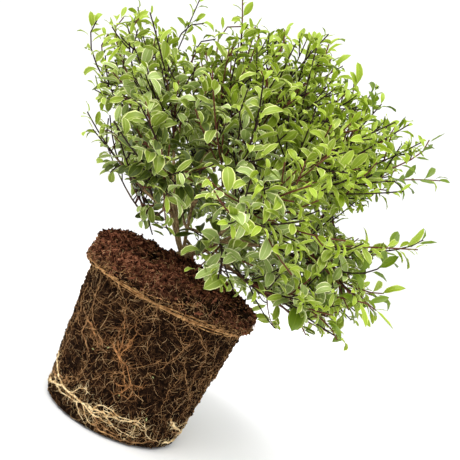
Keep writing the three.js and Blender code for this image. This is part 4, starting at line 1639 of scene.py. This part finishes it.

# %% [markdown]
# ## Leaf colours
# Young leaves near the shoot tips are yellow-green with a faint margin. Grown leaves are
# fresh green, and the older ones inside and below turn grey-green and silvery, with the
# margin clearly cream. The innermost are dark: the shaded tone is partly the deeper green of
# old inner leaves and partly painted shade. The tones are dealt out by a score that is the
# leaf's age and painted shade together: it is raised deep inside, in the hollow and low at
# the left, where shade falls, and lowered where the light falls most, which paints light
# there. One deeper green, the tender tone, is for the long shoots at the right. Each tone is
# plain finishes for the blade, the margin, and the midrib, which is between the two.

# %% Leaf finishes
LEAF_TONES = [
    ("young", (146, 171, 38), (190, 204, 90)),
    ("fresh", (144, 167, 40), (198, 210, 106)),
    ("green", (138, 159, 46), (210, 216, 136)),
    ("silver", (152, 172, 92), (230, 232, 178)),
    ("old", (122, 141, 44), (206, 212, 140)),
    ("shaded", (64, 78, 18), (128, 139, 62)),
    ("tender", (98, 122, 22), (128, 148, 48)),
]
SILVER, TENDER = 3, 6
TONES_BY_AGE_AND_SHADE = 6  # all but the tender one
leaf_finishes = []
for name, blade, margin in LEAF_TONES:
    midrib = tuple(0.6 * a + 0.4 * b for a, b in zip(blade, margin))
    parts = (("blade", blade, 0.42), ("margin", margin, 0.45), ("midrib", midrib, 0.45))
    for part, colour, roughness in parts:
        leaf_finishes.append(plain_finish(f"{name}_{part}", colour, roughness, 0.3))
print(len(leaf_finishes), "leaf finishes")

# %% [markdown]
# ## Leaves on the twigs
# Leaves sit one golden angle apart round the twig, from its tip inwards: close together and
# small at the tip, where they make a rosette, and wider apart and larger further in. Each
# leans away from the twig and turns its face along it and up to the light, and in the sunny
# part a little to the front. A leaf that would leave the crown or touch a limb is turned
# round the twig, and at last left out. No small patch of space may hold more than a few,
# which keeps the crown even, and leaves are left out at the thin places like the twigs.

# %% How a leaf stands, and where there is room for one
LEAF_SPREAD = 62  # degrees between leaf and twig, and at the tip
TIP_SPREAD = 38
LEAF_TURN = 84  # degrees of chance in where its face turns, and on a long shoot
LONG_LEAF_TURN = 50
FRONT = direction(-90, 0)
LONG_TO_FRONT = 1.5  # how far a face turns to the front, on a long shoot and in the sunny part
SUNNY_TO_FRONT = 0.6
SUNNY_HEADING = direction(0, 60)
PATCH = 0.010
MOST_IN_PATCH = 4
LEAF_FROM_LIMB = 1.5 * MM

patches_filled = {}


def sunny_share(azimuth, elevation):
    """1 where the light falls most, fading to 0 round it"""
    return max(0.0, float(np.dot(direction(azimuth, elevation), SUNNY_HEADING))) ** 3


def leaf_frame(twig, share, index):
    """Root, length direction and face direction of a leaf"""
    key, place = twig.key, twig.line.at(share)
    forward, outward = round_about(twig.line, share, index, 360 * chance(key, 5))
    opening = LEAF_SPREAD + (TIP_SPREAD - LEAF_SPREAD) * share**4 + sway(26, key, index, 6)
    lengthwise = leaning(forward, outward, opening)
    long = twig.rank == LONG_SHOOT
    to_front = LONG_TO_FRONT if long else SUNNY_TO_FRONT * sunny_share(*seen_from_heart(place)[:2])
    face = 0.4 * forward + UP + to_front * FRONT
    face = unit(face - lengthwise * np.dot(face, lengthwise))
    face = turned(face, lengthwise, sway(LONG_LEAF_TURN if long else LEAF_TURN, key, index, 8))
    return place + outward * twig.radius(share) * 0.6, lengthwise, face


def leaf_fits(root, lengthwise, size, mass, outline, slack, inner):
    """Whether there is room for a leaf, which then takes it. A long shoot's leaf has no mass."""
    tip, middle = root + lengthwise * size, root + lengthwise * size * 0.55
    patch = tuple(np.floor(middle / PATCH).astype(int))
    if patches_filled.get(patch, 0) >= MOST_IN_PATCH or not in_crown(tip, outline, slack):
        return False
    if mass and mass.room(tip) < -CELL_OVERLAP - 3 * MM:
        return False
    thinned = inner and mass and mass.ring != "hanging"
    if thinned and chance(middle[0] * 997, middle[2] * 983) < SPARSE_LEAVES * sparse_share(middle):
        return False
    if mass and (in_opening(middle) or in_opening(tip)):
        return False
    if min(limb_clearance(tip), limb_clearance(middle)) < LEAF_FROM_LIMB:
        return False
    patches_filled[patch] = patches_filled.get(patch, 0) + 1
    return True


print("full sun in the middle of the sunny part:", round(sunny_share(0, 60), 3))

# %% A leaf's age, its painted shade, and its tone
AGE_OUTSIDE = 0.29  # at the crown's outline, where 0 is just opened and 1 is old
# Partly real age and partly painted shade: inner leaves are older, and get darker tones where shade falls
# deep inside
AGE_AND_SHADE_INSIDE = 0.95  # added in to the heart, but less where it is sunny
AGE_LOW = 0.04
# Painted shade: the low left is shaded by the rest of the crown, so its leaves get darker tones
LEFT_SHADE = 0.45
# Painted light: where the light falls most the leaves get lighter tones
SUNNY_LIGHTENING = 0.2  # taken off
# Painted shade: darker tones in the hollow, where shade falls
HOLLOW_SHADE = 0.34
YOUNG_PART = 0.2  # of a twig, at its tip
SILVER_BELOW = 0.22  # metres up, and it also stands in front
SILVER_BEFORE = -0.05


def leaf_age_and_shade(twig, share, root, index):
    """From 0, just opened, to 1, old: young at the tips, older inside and below. Painted shade
    raises it deep inside, in the hollow and low at the left, and painted light lowers it
    where the light falls most
    """
    azimuth, elevation, distance = seen_from_heart(root)
    inside = 1 - min(1.0, distance / crown_reach(azimuth, elevation))
    low = max(0.0, (0.26 - root[2]) / 0.13)
    left = min(1.0, max(0.0, (HEART[0] - root[0]) / 0.08)) * max(0.0, 1 - (root[2] - HEART[2]) / 0.11)
    sunny = sunny_share(azimuth, elevation)
    # Besides the real age, these lines paint shade, raising the score deep inside, low at the left and in
    # the hollow, and paint light, lowering it where it is sunny
    age_and_shade = AGE_OUTSIDE + AGE_AND_SHADE_INSIDE * inside**1.2 * (1 - 0.55 * sunny)
    age_and_shade = age_and_shade + AGE_LOW * low + LEFT_SHADE * left - SUNNY_LIGHTENING * sunny
    age_and_shade += HOLLOW_SHADE * hollow_share(azimuth, elevation)
    age_and_shade += sway(0.26, twig.key, 71)
    younger = 0.3 * max(0.0, share - 0.8) / YOUNG_PART * (1 - 0.7 * min(low, 1))
    return age_and_shade - younger + sway(0.16, twig.key, index, 72)


def leaf_tone(age_and_shade, root, key):
    """The number of its tone: silver stands low and in front, and elsewhere is green or old"""
    tone = int(min(max(age_and_shade * TONES_BY_AGE_AND_SHADE, 0), TONES_BY_AGE_AND_SHADE - 1))
    if tone == SILVER and root[2] > SILVER_BELOW and root[1] > SILVER_BEFORE:
        return tone + (1 if chance(key, 75) < 0.5 else -1)
    return tone


print("a tone spans", round(1 / TONES_BY_AGE_AND_SHADE, 3), "of the age")

# %% How leaves grow
LEAF_LENGTH = 0.0202
LEAF_SPACING = 0.0074
LEAF_TRIES = 3
LOW_LEFT_SCALE = 0.76  # the leaves low at the left are smaller
LONG_LEFT, LONG_RIGHT = 0.8, 1.1  # the size of a long shoot's leaves, on either side
TENDER_FROM = 0.09  # metres to the right
TENDER_SHARE = 0.8
WIDE_SLACK = 1.7  # how far past its outline a leaf may reach, where it is seen alone
SLACK = 1.05


def leaves_of(twig, mass):
    """(root, lengthwise, face, size, width, tone, shape) of each leaf on a twig"""
    made = []
    long, hanging = twig.rank == LONG_SHOOT, mass.ring == "hanging"
    tip = twig.line.at(1) - HEART
    most = LONG_LEFT if tip[0] < 0 else LONG_RIGHT
    low_left = tip[0] < 0 and tip[2] < 0.55 * -tip[0]
    scale = LEAF_LENGTH * (LOW_LEFT_SCALE if low_left else 1)
    outline = bulk_reach if twig.rank == SIDE_TWIG and not hanging else crown_reach
    slack = WIDE_SLACK if long or low_left or hanging else SLACK
    at, index = 0.98 * twig.line.length, 0
    while at > twig.leafy_from * twig.line.length:
        share = at / twig.line.length
        if long:
            at -= LEAF_SPACING * (most * (1.15 - 0.85 * share**8))
            growth = min(most, 0.86 + 7 * (1 - share))
        else:
            at -= LEAF_SPACING * (1.15 - 0.72 * share**3)
            growth = min(1.0, (0.8 if low_left else 0.56) + 1.6 * (1 - share))
        inner = share < 0.66 and twig.rank != SHOOT
        broad = chance(twig.key, index, 9)
        for turn in range(LEAF_TRIES):
            root, lengthwise, face = leaf_frame(twig, share, index + turn)
            age_and_shade = leaf_age_and_shade(twig, share, root, index)
            size = scale * (0.74 + 0.28 * broad + 0.18 * broad**6) * growth * (0.92 + 0.2 * age_and_shade)
            if leaf_fits(root, lengthwise, size, None if long else mass, outline, slack, inner):
                tender = long and root[0] > TENDER_FROM and chance(twig.key, index, 77) < TENDER_SHARE
                tone = TENDER if tender else leaf_tone(age_and_shade, root, twig.key + index)
                shape = int(len(LEAF_SHAPES) * chance(twig.key, index, 73))
                width = (0.64 + 0.48 * chance(twig.key, index, 74)) * (0.86 + 0.3 * age_and_shade)
                made.append((root, lengthwise, face, size, width, tone, shape))
                break
        index += 1
    return made


for mass in masses:
    mass.leaves = [leaf for twig in mass.twigs for leaf in leaves_of(twig, mass)]
print(sum(len(mass.leaves) for mass in masses), "leaves")

# %% Leaves joined by ring
for name in RING_NAMES:
    heap = Heap(*leaf_finishes)
    for mass in ring_of(name):
        for root, lengthwise, face, size, width, tone, shape in mass.leaves:
            corners, faces, looks = LEAF_SHAPES[shape]
            axes = np.array((lengthwise, width * np.cross(face, lengthwise), face))
            heap.add(root + size * corners @ axes, faces, [3 * tone + look for look in looks])
    leaves = heap.piece(f"leaves_{name}")
    hand_over(leaves, "foliage", *[f"foliage_{mass.name}" for mass in ring_of(name)])
